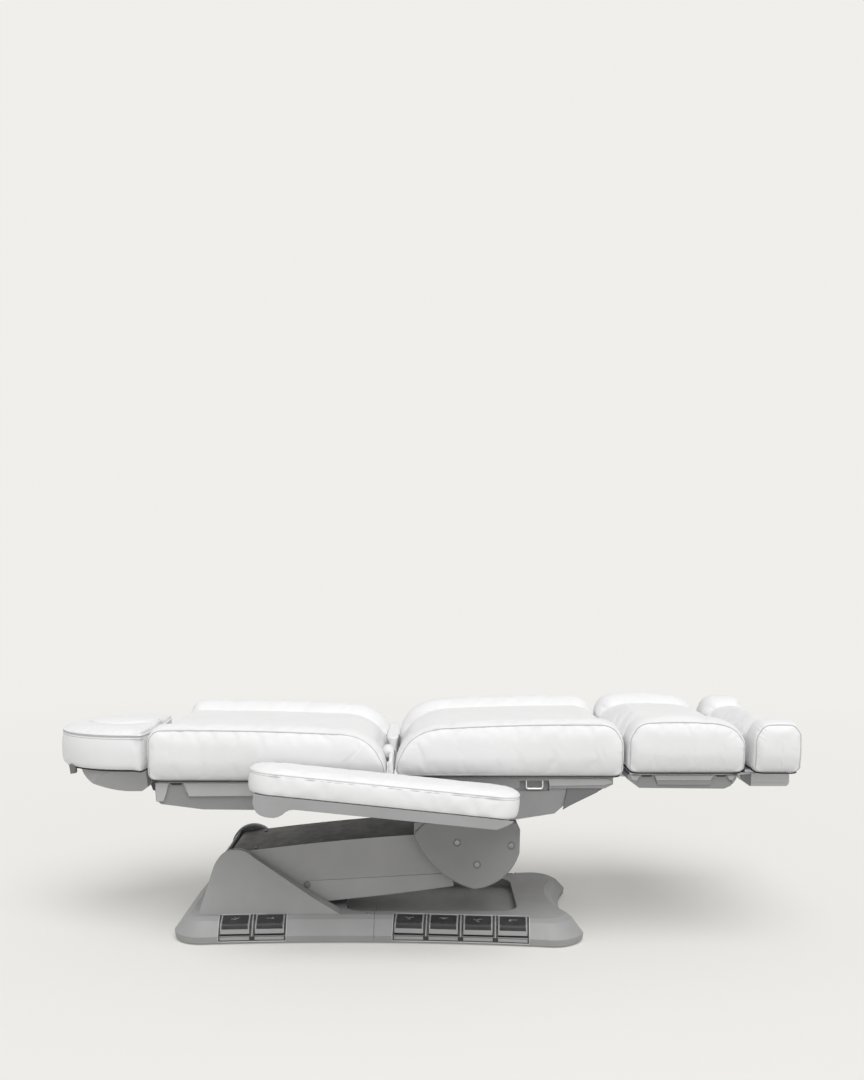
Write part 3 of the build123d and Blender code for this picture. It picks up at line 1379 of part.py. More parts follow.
def build_cushions():
    slot = (HINGE_LUG_IN - HINGE_SLOT_SPACE, SEAT_LUG_OUT + HINGE_SLOT_SPACE)
    high = BACK_HINGE_Z + HINGE_EYE + HINGE_SLOT_SPACE
    seat = cut_from(
        cushion(
            SEAT_REAR, SEAT_FRONT, SEAT_DECK, (SEAT_THICK_REAR, SEAT_THICK_FRONT),
            (SEAT_REAR_ROLL, SEAT_FRONT_ROLL)
        ),
        lug_slot(*slot, SEAT_REAR - CUT, SEAT_REAR + SEAT_SLOT_DEEP, SEAT_DECK - CUT, BACK_HINGE_Z),
    )
    save(seat, "seat_cushion")
    back = cut_from(
        cushion(
            BACK_REAR, BACK_FRONT, BACK_DECK, (BACK_THICK_REAR, BACK_THICK_FRONT),
            (BACK_REAR_ROLL, BACK_FRONT_ROLL)
        ),
        lug_slot(*slot, BACK_FRONT - BACK_SLOT_DEEP, BACK_FRONT + CUT, BACK_DECK - CUT, high),
    )
    save(back, "back_cushion")
    leg = cushion(LEG_REAR, LEG_FRONT, LEG_DECK, (LEG_THICK, LEG_THICK), (LEG_REAR_ROLL, LEG_FRONT_ROLL))
    save(leg, "leg_cushion")
    foot = cushion(
        FOOT_REAR, FOOT_END, LEG_DECK, (FOOT_THICK, FOOT_THICK), (FOOT_REAR_ROLL, FOOT_FRONT_ROLL)
    )
    save(foot, "foot_cushion")


# Backrest
def back_lug():
    front = BACK_SHELL_ENDS[1] - BOARD_INSET
    rear = front - 2 * CROSS_WIDTH
    outline([
        (rear, BACK_UNDER), (rear, BACK_UNDER - BACK_FRAME_DEEP),
        (front, BACK_UNDER - BACK_FRAME_DEEP), (BACK_HINGE_X + HINGE_EYE, BACK_HINGE_Z),
        (BACK_HINGE_X - HINGE_EYE, BACK_HINGE_Z), (front, BACK_UNDER),
    ])
    disc((BACK_HINGE_X, BACK_HINGE_Z), HINGE_EYE)
    disc((BACK_HINGE_X, BACK_HINGE_Z), HINGE_PIN + RUN, Mode.SUBTRACT)


def head_bar_faces(spread, mode=Mode.ADD):
    """Sections of the two head bars, or of their guides' bores when spread."""
    middle = HEAD_BAR_IN + HEAD_BAR_WIDTH / 2
    with Locations((-middle, 0), (middle, 0)):
        Rectangle(HEAD_BAR_WIDTH + 2 * spread, HEAD_BAR_THICK + 2 * spread, mode=mode)


def build_back_frame():
    rear, front = BACK_SHELL_ENDS
    rear += BOARD_INSET
    front -= BOARD_INSET
    rails_rear = HEAD_HINGE_X + HEAD_BAR_REACH + SWING_GAP
    cross_half = FRAME_OUTER + FRAME_WALL
    guide_rear = BACK_SHELL_ENDS[0] + SHELL_WALL + FACE_GAP
    with BuildPart() as guides:
        with BuildSketch(cross_plane(guide_rear, HEAD_HINGE_Z)):
            for side in (-1, 1):
                box_face(
                    *sorted((
                        side * (HEAD_BAR_IN - HEAD_GUIDE_WALL),
                        side * (HEAD_BAR_IN + HEAD_BAR_WIDTH + HEAD_GUIDE_WALL),
                    )),
                    -HEAD_BAR_THICK / 2 - HEAD_GUIDE_WALL, BACK_UNDER - HEAD_HINGE_Z,
                )
            head_bar_faces(FACE_GAP, Mode.SUBTRACT)
        extrude(amount=HEAD_GUIDE_LENGTH)
    axle = pair_of_slabs(
        side_plane(ARMREST_X, ARMREST_Z), cross_half, ARMREST_IN - ARMREST_AXLE_BACK,
        lambda: Circle(BRACKET_PIN)
    )
    frame = joined(
        board(rear, front, BACK_DECK, BOARD_HALF),
        frame_rails(rails_rear, front - CROSS_WIDTH, BACK_UNDER, BACK_FRAME_DEEP),
        cross_member(rails_rear, cross_half, BACK_UNDER, BACK_FRAME_DEEP),
        cross_member(front - 2 * CROSS_WIDTH, cross_half, BACK_UNDER, BACK_FRAME_DEEP),
        pair_of_slabs(side_plane(), HINGE_LUG_IN, HINGE_LUG_OUT, back_lug),
        guides.part,
        axle,
    )
    save(frame, "back_frame")


def build_back_shell():
    rear, front = BACK_SHELL_ENDS
    with BuildPart() as bar_holes:
        with BuildSketch(cross_plane(rear - CUT, HEAD_HINGE_Z)):
            head_bar_faces(2 * FACE_GAP)
        extrude(amount=2 * CUT)
    axle_hole = pair_of_slabs(
        side_plane(ARMREST_X, ARMREST_Z), SHELL_HALF - CUT, SHELL_HALF + CUT,
        lambda: Circle(BRACKET_PIN + FACE_GAP)
    )
    lug_room = lug_slot(
        HINGE_LUG_IN - SWING_GAP, HINGE_LUG_OUT + SWING_GAP,
        front - CROSS_WIDTH, front + CUT, BACK_UNDER - BACK_FRAME_DEEP - SWING_GAP, BACK_UNDER + CUT,
    )
    part = shell(
        rear, front, BACK_UNDER, BACK_SHELL_DEPTH, SHELL_HALF, BACK_SHELL_SHARES,
        cuts=(bar_holes.part, axle_hole, lug_room, band_gap(rear + BACK_NOTCH_AHEAD, BACK_UNDER)),
    )
    save(part, "back_shell")


# Headrest on its two sliding bars
def build_head_bars():
    hinge = (HEAD_HINGE_X, HEAD_HINGE_Z)
    out = HEAD_BAR_IN + HEAD_BAR_WIDTH
    bars = pair_of_slabs(side_plane(*hinge), HEAD_BAR_IN, out, head_bar_side)
    pins = pair_of_slabs(
        side_plane(*hinge), HEAD_BAR_IN - FACE_GAP - LUG_THICK, out, lambda: Circle(HEAD_PIN)
    )
    save(joined(bars, pins), "head_bars")


def head_bar_side():
    box_face(0, HEAD_BAR_REACH, -HEAD_BAR_THICK / 2, HEAD_BAR_THICK / 2)
    Circle(HEAD_EYE)


def head_lug():
    """Tongue of the head board, and the plate that hangs from it down to the hinge."""
    low = HEAD_UNDER - HEAD_HINGE_Z
    box_face(-HEAD_TONGUE, HEAD_EYE, low, low + BOARD_THICK)
    box_face(-HEAD_EYE, HEAD_EYE, 0, low + BOARD_THICK)
    Circle(HEAD_EYE)
    Circle(HEAD_PIN + RUN, mode=Mode.SUBTRACT)


def head_plan(rear, front, half):
    """Plan of the headrest: round at the head end and square at the neck."""
    turn = rear + HEAD_ROUND_RUN
    with BuildLine() as line:
        Line((turn, -half), (front - HEAD_CORNER, -half))
        bulge((front - HEAD_CORNER, -half), (front, HEAD_CORNER - half), QUARTER_SHARE)
        Line((front, HEAD_CORNER - half), (front, half - HEAD_CORNER))
        bulge((front, half - HEAD_CORNER), (front - HEAD_CORNER, half), QUARTER_SHARE)
        Line((front - HEAD_CORNER, half), (turn, half))
        EllipticalCenterArc((turn, 0), HEAD_ROUND_RUN, half, start_angle=90, arc_size=180)
    make_face(line.edges())


def build_head():
    rear = HEAD_END + HEAD_SHELL_REAR
    front = HEAD_FRONT - HEAD_SHELL_FRONT_GAP
    with BuildPart() as deck:
        with BuildSketch(Plane.XY.offset(HEAD_UNDER)):
            head_plan(rear + BOARD_INSET, front, HEAD_SHELL_HALF - BOARD_INSET)
        extrude(amount=BOARD_THICK)
    lug_out = HEAD_BAR_IN - FACE_GAP
    lugs = pair_of_slabs(side_plane(HEAD_HINGE_X, HEAD_HINGE_Z), lug_out - LUG_THICK, lug_out, head_lug)
    save(joined(deck.part, lugs), "head_frame")

    shell_part = cut_from(head_shell_block(rear, front, 0.0), head_shell_block(rear, front, SHELL_WALL))
    save(shell_part, "head_shell")


def head_shell_block(rear, front, inset):
    """The boat-shaped tray under the headrest, or its hollow when inset is the wall."""
    low = HEAD_UNDER - HEAD_SHELL_DEPTH + inset
    top = HEAD_UNDER + (CUT if inset else 0)
    rear_tip = (rear + inset, HEAD_UNDER)
    keel = (front - HEAD_KEEL_BACK, low)
    heel = (front - inset, low + HEAD_HEEL_RISE)
    with BuildPart() as block:
        with BuildSketch(side_plane()):
            with BuildLine() as line:
                bulge(rear_tip, keel, HEAD_BELLY_SHARE)
                Line(keel, heel)
                Line(heel, (front - inset, top))
                Line((front - inset, top), (rear + inset, top))
                if inset:
                    Line((rear + inset, top), rear_tip)
            make_face(line.edges())
        extrude(amount=HEAD_SHELL_HALF + CUT, both=True)
        with BuildSketch(cross_plane(rear - CUT, HEAD_UNDER)):
            half = HEAD_SHELL_HALF - inset
            foot = half - HEAD_SHELL_TAPER
            outline([
                (-half, top - HEAD_UNDER), (-half, -SHELL_WALL), (-foot, -HEAD_SHELL_DEPTH),
                (foot, -HEAD_SHELL_DEPTH), (half, -SHELL_WALL), (half, top - HEAD_UNDER),
            ])
        extrude(amount=front - rear + 2 * CUT, mode=Mode.INTERSECT)
        with BuildSketch(Plane.XY.offset(low - CUT)):
            head_plan(rear + inset, front + HEAD_CORNER, HEAD_SHELL_HALF - inset)
        extrude(amount=top - low + 2 * CUT, mode=Mode.INTERSECT)
    return block.part


def build_head_cushion():
    top = HEAD_DECK + HEAD_SIDE
    insert_x = HEAD_FRONT - INSERT_FRONT_GAP - INSERT_LENGTH / 2
    floor = top + HEAD_CROWN - INSERT_DEEP
    with BuildPart() as pad:
        with BuildSketch(Plane.XY.offset(HEAD_DECK)):
            head_plan(HEAD_END, HEAD_FRONT, HEAD_HALF)
        extrude(amount=HEAD_SIDE + HEAD_CROWN)
        with BuildSketch(cross_plane(HEAD_END - CUT, top)):
            head_section(HEAD_HALF, HEAD_SIDE)
        extrude(amount=HEAD_LENGTH + 2 * CUT, mode=Mode.INTERSECT)
        with BuildSketch(side_plane()):
            head_side()
        extrude(amount=HEAD_HALF, both=True, mode=Mode.INTERSECT)
        with BuildSketch(Plane((insert_x, 0, floor - SOFT_GAP))):
            Ellipse(INSERT_LENGTH / 2 + SOFT_GAP, INSERT_WIDTH / 2 + SOFT_GAP)
        extrude(amount=INSERT_DEEP + CUT, mode=Mode.SUBTRACT)
    save(pad.part, "head_cushion")

    with BuildPart() as insert:
        with BuildSketch(Plane((insert_x, 0, floor))):
            Ellipse(INSERT_LENGTH / 2, INSERT_WIDTH / 2)
        extrude(amount=INSERT_DEEP + INSERT_PROUD)
        fillet(insert.faces().sort_by(Axis.Z)[-1].edges(), INSERT_PROUD * INSERT_ROUND_SHARE)
    save(insert.part, "face_insert")


def head_section(half, deep):
    foot = half - SIDE_TUCK
    with BuildLine() as line:
        Line((-foot, -deep), (foot, -deep))
        bulge((foot, -deep), (half, 0), SIDE_BULGE_SHARE)
        ThreePointArc((half, 0), (0, HEAD_CROWN), (-half, 0))
        bulge((-half, 0), (-foot, -deep), SIDE_BULGE_SHARE)
    make_face(line.edges())


def head_side():
    """Side of the head cushion: an upright neck end and a bellied head end."""
    top = HEAD_DECK + HEAD_SIDE + HEAD_CROWN
    with BuildLine() as line:
        Line((HEAD_END + UNDER_TUCK, HEAD_DECK), (HEAD_FRONT - UNDER_TUCK, HEAD_DECK))
        bulge((HEAD_FRONT - UNDER_TUCK, HEAD_DECK), (HEAD_FRONT, HEAD_DECK + UNDER_TUCK), QUARTER_SHARE)
        Line((HEAD_FRONT, HEAD_DECK + UNDER_TUCK), (HEAD_FRONT, top - UNDER_TUCK))
        bulge((HEAD_FRONT, top - UNDER_TUCK), (HEAD_FRONT - UNDER_TUCK, top), QUARTER_SHARE)
        Line((HEAD_FRONT - UNDER_TUCK, top), (HEAD_END + 2 * UNDER_TUCK, top))
        bulge((HEAD_END + 2 * UNDER_TUCK, top), (HEAD_END, top - 2 * UNDER_TUCK), QUARTER_SHARE)
        Line((HEAD_END, top - 2 * UNDER_TUCK), (HEAD_END, HEAD_DECK + UNDER_TUCK))
        bulge((HEAD_END, HEAD_DECK + UNDER_TUCK), (HEAD_END + UNDER_TUCK, HEAD_DECK), QUARTER_SHARE)
    make_face(line.edges())


# Leg rest, with the guides that the foot rest's runners slide in
def leg_mate_lug():
    rear = LEG_SHELL_ENDS[0] + BOARD_INSET
    outline([
        (rear, LEG_UNDER), (LEG_HINGE_X, LEG_HINGE_Z + LEG_EYE), (LEG_HINGE_X, LEG_HINGE_Z - LEG_EYE),
        (rear + LEG_LUG_ROOT, LEG_UNDER - LEG_FRAME_DEEP), (rear + LEG_LUG_ROOT, LEG_UNDER),
    ])
    disc((LEG_HINGE_X, LEG_HINGE_Z), LEG_EYE)
    disc((LEG_HINGE_X, LEG_HINGE_Z), LEG_PIN + RUN, Mode.SUBTRACT)


def runner_discs(radius, mode=Mode.ADD):
    with Locations((-RUNNER_Y, 0), (RUNNER_Y, 0)):
        Circle(radius, mode=mode)


def build_leg_rest():
    rear, front = LEG_SHELL_ENDS
    board_rear = rear + BOARD_INSET
    board_front = front - BOARD_INSET
    guide_front = front - GUIDE_BACK
    with BuildPart() as guides:
        with BuildSketch(cross_plane(guide_front - GUIDE_LENGTH, RUNNER_Z)):
            for y in (-RUNNER_Y, RUNNER_Y):
                box_face(y - GUIDE_HALF, y + GUIDE_HALF, -GUIDE_HALF, LEG_UNDER - RUNNER_Z)
            runner_discs(RUNNER + RUN, Mode.SUBTRACT)
        extrude(amount=GUIDE_LENGTH)
    rails_rear = board_rear + LEG_LUG_ROOT
    frame = joined(
        board(board_rear, board_front, LEG_DECK, BOARD_HALF),
        frame_rails(rails_rear, guide_front, LEG_UNDER, LEG_FRAME_DEEP),
        cross_member(rails_rear, FRAME_OUTER + FRAME_WALL, LEG_UNDER, LEG_FRAME_DEEP),
        pair_of_slabs(side_plane(), LEG_MATE_IN, LEG_MATE_OUT, leg_mate_lug),
        guides.part,
    )
    save(frame, "leg_frame")

    part = shell(
        rear, front, LEG_UNDER, LEG_SHELL_DEPTH, SHELL_HALF, LEG_SHELL_SHARES,
        cuts=(
            *[band_gap(rear + share * (front - rear), LEG_UNDER) for share in LEG_NOTCH_SHARES],
            runner_slots(front),
            lug_slot(
                LEG_LUG_IN - SWING_GAP, LEG_MATE_OUT + SWING_GAP,
                rear - CUT, rear + BOARD_INSET + LEG_LUG_ROOT + SWING_GAP, LEG_UNDER - CUT, LEG_UNDER + CUT,
            ),
        ),
    )
    save(part, "leg_shell")


def runner_slots(x):
    """Openings for both runners in a shell's end wall."""
    room = RUNNER + SWING_GAP
    with BuildPart() as slots:
        with BuildSketch(cross_plane(x - SHELL_WALL - LEG_SLOT_DEEP, RUNNER_Z)):
            for y in (-RUNNER_Y, RUNNER_Y):
                box_face(y - room, y + room, -room, LEG_UNDER + CUT - RUNNER_Z)
        extrude(amount=2 * (SHELL_WALL + LEG_SLOT_DEEP))
    return slots.part


def build_foot_rest():
    rear, front = FOOT_SHELL_ENDS
    board_rear = rear + LEG_SLOT_DEEP
    board_front = front - BOARD_INSET
    with BuildPart() as runners:
        with BuildSketch(cross_plane(rear - RUNNER_REACH, RUNNER_Z)):
            runner_discs(RUNNER)
        extrude(amount=RUNNER_REACH + FOOT_LENGTH / 2)
    half = FOOT_SHELL_HALF - BOARD_INSET
    frame = joined(
        board(board_rear, board_front, LEG_DECK, half),
        slab(side_plane(), -RUNNER_Y - GUIDE_HALF, RUNNER_Y + GUIDE_HALF, lambda: box_face(
            board_rear + LEG_SLOT_DEEP, board_rear + LEG_SLOT_DEEP + CROSS_WIDTH,
            LEG_UNDER - LEG_FRAME_DEEP, LEG_UNDER,
        )),
        runners.part,
    )
    save(frame, "foot_frame")
    part = shell(
        rear, front, LEG_UNDER, FOOT_SHELL_DEPTH, FOOT_SHELL_HALF, FOOT_SHELL_SHARES,
        cuts=(runner_slots(rear),)
    )
    save(part, "foot_shell")


# Armrests, drawn along their own slope from the pivot
def armrest_plane():
    return side_plane(ARMREST_X, ARMREST_Z, ARMREST_SLOPE)


def armrest_plan(rear, front, half, run):
    """Plan of an armrest about its own middle line, with rounded ends."""
    with BuildLine() as line:
        Line((rear + run, -half), (front - run, -half))
        EllipticalCenterArc((front - run, 0), run, half, start_angle=-90, arc_size=180)
        Line((front - run, half), (rear + run, half))
        EllipticalCenterArc((rear + run, 0), run, half, start_angle=90, arc_size=180)
    make_face(line.edges())


def armrest_section(half, deep):
    with BuildLine() as line:
        Line((SIDE_TUCK - half, -deep), (half - SIDE_TUCK, -deep))
        bulge((half - SIDE_TUCK, -deep), (half, 0), ARMREST_BULGE_SHARE)
        ThreePointArc((half, 0), (0, ARMREST_PAD_CROWN), (-half, 0))
        bulge((-half, 0), (SIDE_TUCK - half, -deep), ARMREST_BULGE_SHARE)
    make_face(line.edges())


def build_armrests():
    slope = radians(ARMREST_SLOPE)
    along = Vector(cos(slope), 0, sin(slope))
    up = Vector(-sin(slope), 0, cos(slope))
    middle = -(ARMREST_IN + ARMREST_OUT) / 2
    half = ARMREST_WIDTH / 2
    pivot = Vector(ARMREST_X, middle, ARMREST_Z)
    rear = -ARMREST_BEHIND
    front = ARMREST_LENGTH - ARMREST_BEHIND
    seam = ARMREST_PAD_RISE + ARMREST_PAD_SIDE
    with BuildPart() as pad:
        with BuildSketch(Plane(origin=pivot + up * ARMREST_PAD_RISE, x_dir=along, z_dir=up)):
            armrest_plan(rear, front, half, ARMREST_END_RUN)
        extrude(amount=ARMREST_PAD_SIDE + ARMREST_PAD_CROWN)
        behind = pivot + up * seam + along * (rear - CUT)
        with BuildSketch(Plane(origin=behind, x_dir=(0, 1, 0), z_dir=along)):
            armrest_section(half, ARMREST_PAD_SIDE)
        extrude(amount=ARMREST_LENGTH + 2 * CUT, mode=Mode.INTERSECT)
    save(pad.part, "armrest_pad_right")
    save(mirror(pad.part, about=Plane.XZ), "armrest_pad_left")

    shell_half = half - ARMREST_SHELL_INSET
    shell_ends = (rear + ARMREST_SHELL_INSET, front - ARMREST_SHELL_INSET)
    with BuildPart() as tray:
        with BuildSketch(armrest_plane().offset(-middle - shell_half)):
            armrest_shell_side(*shell_ends)
        extrude(amount=2 * shell_half)
        with BuildSketch(Plane(origin=pivot - up * ARMREST_BULGE, x_dir=along, z_dir=up)):
            armrest_plan(*shell_ends, shell_half, ARMREST_END_RUN)
        extrude(amount=ARMREST_BULGE + ARMREST_PAD_RISE, mode=Mode.INTERSECT)
        with BuildSketch(armrest_plane().offset(-middle - shell_half)):
            Circle(BRACKET_PIN + RUN)
        extrude(amount=2 * shell_half, mode=Mode.SUBTRACT)
    save(tray.part, "armrest_shell_right")
    save(mirror(tray.part, about=Plane.XZ), "armrest_shell_left")

    bracket_out = ARMREST_IN + ARMREST_SHELL_INSET - FACE_GAP
    bracket_in = bracket_out - BRACKET_THICK
    lever_in = bracket_out - LEVER_THICK
    pin_out = ARMREST_OUT - 2 * ARMREST_SHELL_INSET
    plane = armrest_plane()
    for side, label in ((-1, "armrest_bracket_right"), (1, "armrest_bracket_left")):
        bracket = cut_from(
            joined(
                slab(plane, side * bracket_in, side * bracket_out, lambda: Circle(BRACKET_DISC)),
                slab(plane, side * bracket_out, side * pin_out, lambda: Circle(BRACKET_PIN)),
                slab(plane, side * lever_in, side * bracket_out, stop_lever),
                slab(plane, side * bracket_out, side * (bracket_out + STOP_REACH), stop_pin),
            ),
            slab(plane, side * bracket_in, side * (bracket_out - BRACKET_CAP), axle_bore),
        )
        save(bracket, label)


def stop_centre():
    """Middle of the pin that holds the armrest up, close under its tray."""
    return (STOP_AHEAD, ARMREST_PAD_RISE - ARMREST_SHELL_DEPTH - SOFT_GAP - STOP_PIN)


def stop_pin():
    disc(stop_centre(), STOP_PIN)


def axle_bore():
    Circle(BRACKET_PIN + RUN)


def stop_lever():
    """The bracket's lever, from its hub to the stop pin."""
    ahead, low = stop_centre()
    outline([(0, BRACKET_DISC), (ahead, low + STOP_EYE), (ahead, low - STOP_EYE), (0, -BRACKET_DISC)])
    disc((ahead, low), STOP_EYE)


def armrest_shell_side(rear, front):
    """Side of the armrest's tray: a round belly at the pivot and a slim body."""
    low = ARMREST_PAD_RISE - ARMREST_SHELL_DEPTH
    outline([
        (rear, ARMREST_PAD_RISE - SOFT_GAP), (rear, low), (front - ARMREST_FRONT_SLANT, low),
        (front, ARMREST_PAD_RISE - SOFT_GAP),
    ])
    Circle(ARMREST_BULGE)
    box_face(-ARMREST_BULGE, ARMREST_BULGE, ARMREST_PAD_RISE - SOFT_GAP, ARMREST_BULGE, Mode.SUBTRACT)


# Foot pedals: a rocker on stub pins and the pad on its sloping top
def rocker_face():
    outline([
        (PEDAL_FRONT_BACK, PEDAL_UNDER_Z), (PEDAL_BACK, PEDAL_UNDER_Z),
        (PEDAL_BACK, PEDAL_BACK_Z), (PEDAL_FRONT_BACK, PEDAL_FRONT_Z),
    ])


def pad_face():
    """Section of the pad, laid on the slope of the rocker's top."""
    run, rise = PEDAL_DEEP, PEDAL_BACK_Z - PEDAL_FRONT_Z
    length = hypot(run, rise)
    inward = (run / length, rise / length)
    outline([
        (
            PEDAL_FRONT_BACK + along * inward[0] - above * inward[1],
            PEDAL_FRONT_Z + along * inward[1] + above * inward[0],
        )
        for along, above in (
            (PAD_MARGIN, RUN), (length - PAD_MARGIN, RUN),
            (length - PAD_MARGIN, RUN + PAD_THICK), (PAD_MARGIN, RUN + PAD_THICK),
        )
    ])


def build_pedals():
    reach = PEDAL_HALF + POCKET_SPACE + PEDAL_PIN_REACH
    pad_half = PEDAL_HALF - PAD_MARGIN
    for row in PEDAL_COUNTS:
        for number, along in enumerate(pedal_places(row), start=1):
            rocker = joined(
                row_prism(row, along - PEDAL_HALF, along + PEDAL_HALF, rocker_face),
                row_prism(row, along - reach, along + reach, lambda: disc(PEDAL_PIN_AT, PEDAL_PIN)),
            )
            pad = row_prism(row, along - pad_half, along + pad_half, pad_face)
            with BuildPart() as pedal:
                add(rocker)
                add(pad)
            save(pedal.part, f"pedal_{row}_right_{number}")
            save(mirror(pedal.part, about=Plane.XZ), f"pedal_{row}_left_{number}")


build_base_covers()
build_floor_plate()
build_seam_screws()
build_tower()
build_cheeks()
build_hump_cover()
build_arm_beam()
build_arm_covers()
build_arm_screws()
build_bars()
build_lift_actuator()
build_carriage()
build_carriage_covers()
build_seat_frame()
build_seat_shell()
build_loops()
build_cushions()
build_back_frame()
build_back_shell()
build_head_bars()
build_head()
build_head_cushion()
build_leg_rest()
build_foot_rest()
build_armrests()
build_pedals()
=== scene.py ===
"""The looks of a treatment chair: padded white vinyl on moulded grey plastic and steel.

Lengths are in metres. The chair lies along X with its foot end at +X, and stands on Z = 0.
Right is at -Y, the side that the camera sees, and left at +Y.
"""

import json
from math import cos, pi, radians, sin

import bpy
import numpy as np
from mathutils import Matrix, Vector
from mathutils.kdtree import KDTree

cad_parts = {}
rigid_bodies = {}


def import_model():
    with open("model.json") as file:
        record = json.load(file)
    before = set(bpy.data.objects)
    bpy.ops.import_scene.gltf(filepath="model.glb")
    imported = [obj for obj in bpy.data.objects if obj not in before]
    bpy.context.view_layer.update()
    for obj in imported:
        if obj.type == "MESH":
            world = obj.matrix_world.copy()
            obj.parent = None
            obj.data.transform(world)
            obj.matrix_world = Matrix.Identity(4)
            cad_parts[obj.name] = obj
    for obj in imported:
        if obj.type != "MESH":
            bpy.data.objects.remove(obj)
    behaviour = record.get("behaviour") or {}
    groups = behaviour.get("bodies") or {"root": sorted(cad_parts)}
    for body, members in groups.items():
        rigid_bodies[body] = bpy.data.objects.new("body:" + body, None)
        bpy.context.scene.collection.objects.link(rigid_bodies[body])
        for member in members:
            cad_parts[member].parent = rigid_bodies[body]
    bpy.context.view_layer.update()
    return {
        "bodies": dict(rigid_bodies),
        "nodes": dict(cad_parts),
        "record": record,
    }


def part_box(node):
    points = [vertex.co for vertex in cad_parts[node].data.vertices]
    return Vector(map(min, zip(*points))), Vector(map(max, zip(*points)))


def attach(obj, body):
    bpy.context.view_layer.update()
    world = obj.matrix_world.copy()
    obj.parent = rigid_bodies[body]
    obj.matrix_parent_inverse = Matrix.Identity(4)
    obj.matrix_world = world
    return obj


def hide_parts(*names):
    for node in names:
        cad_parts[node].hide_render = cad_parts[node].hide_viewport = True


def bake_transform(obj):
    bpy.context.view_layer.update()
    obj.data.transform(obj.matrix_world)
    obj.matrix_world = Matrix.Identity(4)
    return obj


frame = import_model()
MM = 0.001
TINY = 1e-6
SIDES = (("right", -1), ("left", 1))

# View: the photograph's frame in pixels, and the camera that was fitted to it
PHOTO_WIDTH = 864
PHOTO_HEIGHT = 1080
PRINCIPAL_U = 425
PRINCIPAL_V = 570
FOCAL_PIXELS = 1075.6
CAMERA_PLACE = (0.0292, -2.95, 0.95)
CAMERA_REACH = (0.1, 100)
SENSOR_MM = 36.0

# Light
SKY_LEVEL = 0.43
SUN_LEVEL = 1.85
SUN_TURN = (31, 8)
SUN_SPREAD = 50
FILL_PLACE = (0.6, -3.4, 1.6)
FILL_AIM = (0, 0, 0.35)
FILL_SIZE = 2.4
FILL_POWER = 10
PAPER = (0.871, 0.863, 0.83)
FLOOR_REACH = 30
FLOOR_SEEN = (0.885, 0.877, 0.843)
FLOOR_BOUNCE = (0.7, 0.695, 0.68)
FLOOR_GLOW = 0.22
FLOOR_FADE = (1.7, 5.5)

# Looks: a linear colour, a roughness and, for plastic, the radius of its soft edges in millimetres
VINYLS = {
    "vinyl_white": (0.88, 0.88, 0.884),
    "thread_white": (0.8, 0.8, 0.8),
    # Darker vinyl: painted shade along the seams.
    "seam_shade_vinyl": (0.55, 0.55, 0.555),
}
# Several greys below are one plastic, toned lighter and darker as painted light and shade.
PLASTICS = {
    "cover_plastic": ((0.36, 0.36, 0.36), 0.5, 2),
    "bracket_plastic": ((0.31, 0.31, 0.31), 0.48, 2),
    "arm_low_lit_plastic": ((0.46, 0.46, 0.46), 0.48, 2),
    "arm_top_plastic": ((0.43, 0.43, 0.43), 0.48, 2),
    "band_lit_plastic": ((0.45, 0.45, 0.452), 0.5, 2),
    # Dark plastic: painted shade on the shells, and the headrest's real catch.
    "shade_and_catch_plastic": ((0.17, 0.17, 0.172), 0.55, 2),
    "tray_plastic": ((0.37, 0.37, 0.373), 0.5, 2),
    "foot_lit_plastic": ((0.55, 0.55, 0.552), 0.5, 2),
    "head_lit_plastic": ((0.43, 0.43, 0.432), 0.5, 2),
    # A light rim: painted highlight on the pedal wells' edges.
    "rim_highlight_plastic": ((0.62, 0.62, 0.62), 0.4, 0.5),
    "shell_plastic": ((0.295, 0.295, 0.298), 0.5, 2),
    "pedal_plastic": ((0.42, 0.42, 0.42), 0.42, 1),
    "icon_paint": ((0.5, 0.5, 0.5), 0.45, 0.3),
    "frame_paint": ((0.03, 0.031, 0.033), 0.42, 1),
    "motor_plastic": ((0.045, 0.046, 0.05), 0.5, 2),
}
GRAIN = 0.00006
COARSE_GRAIN = {"frame_paint": 0.0001}
# Painted shade: the colour that the arm cover's upward faces turn to, for the shade under the seat.
PAINTED_SHADE_TOP = {"arm_top_plastic": (0.04, 0.04, 0.041)}
RUBBERS = {"pedal_rubber": ((0.03, 0.03, 0.031), 0.55), "foot_rubber": ((0.02, 0.02, 0.02), 0.7)}
METALS = {
    "frame_alloy": ((0.55, 0.56, 0.57), 0.4),
    "steel": ((0.42, 0.42, 0.43), 0.34),
    "chrome": ((0.82, 0.83, 0.84), 0.12),
    "screw_steel": ((0.33, 0.33, 0.34), 0.36),
}
SLOT_LOOKS = {"arm_plastic": "bracket_plastic", "cover_screw_steel": "screw_steel", "vinyl": "vinyl_white"}
# Painted light and shade: these parts take copies of the one grey plastic, toned lighter and darker by how
# the light falls on each.
NODE_LOOKS = {
    "arm_cover_upper": "arm_top_plastic",
    "arm_cover_lower": "arm_low_lit_plastic",
    "armrest_shell_right": "tray_plastic",
    "armrest_shell_left": "tray_plastic",
    "foot_shell": "foot_lit_plastic",
    "head_shell": "head_lit_plastic",
}

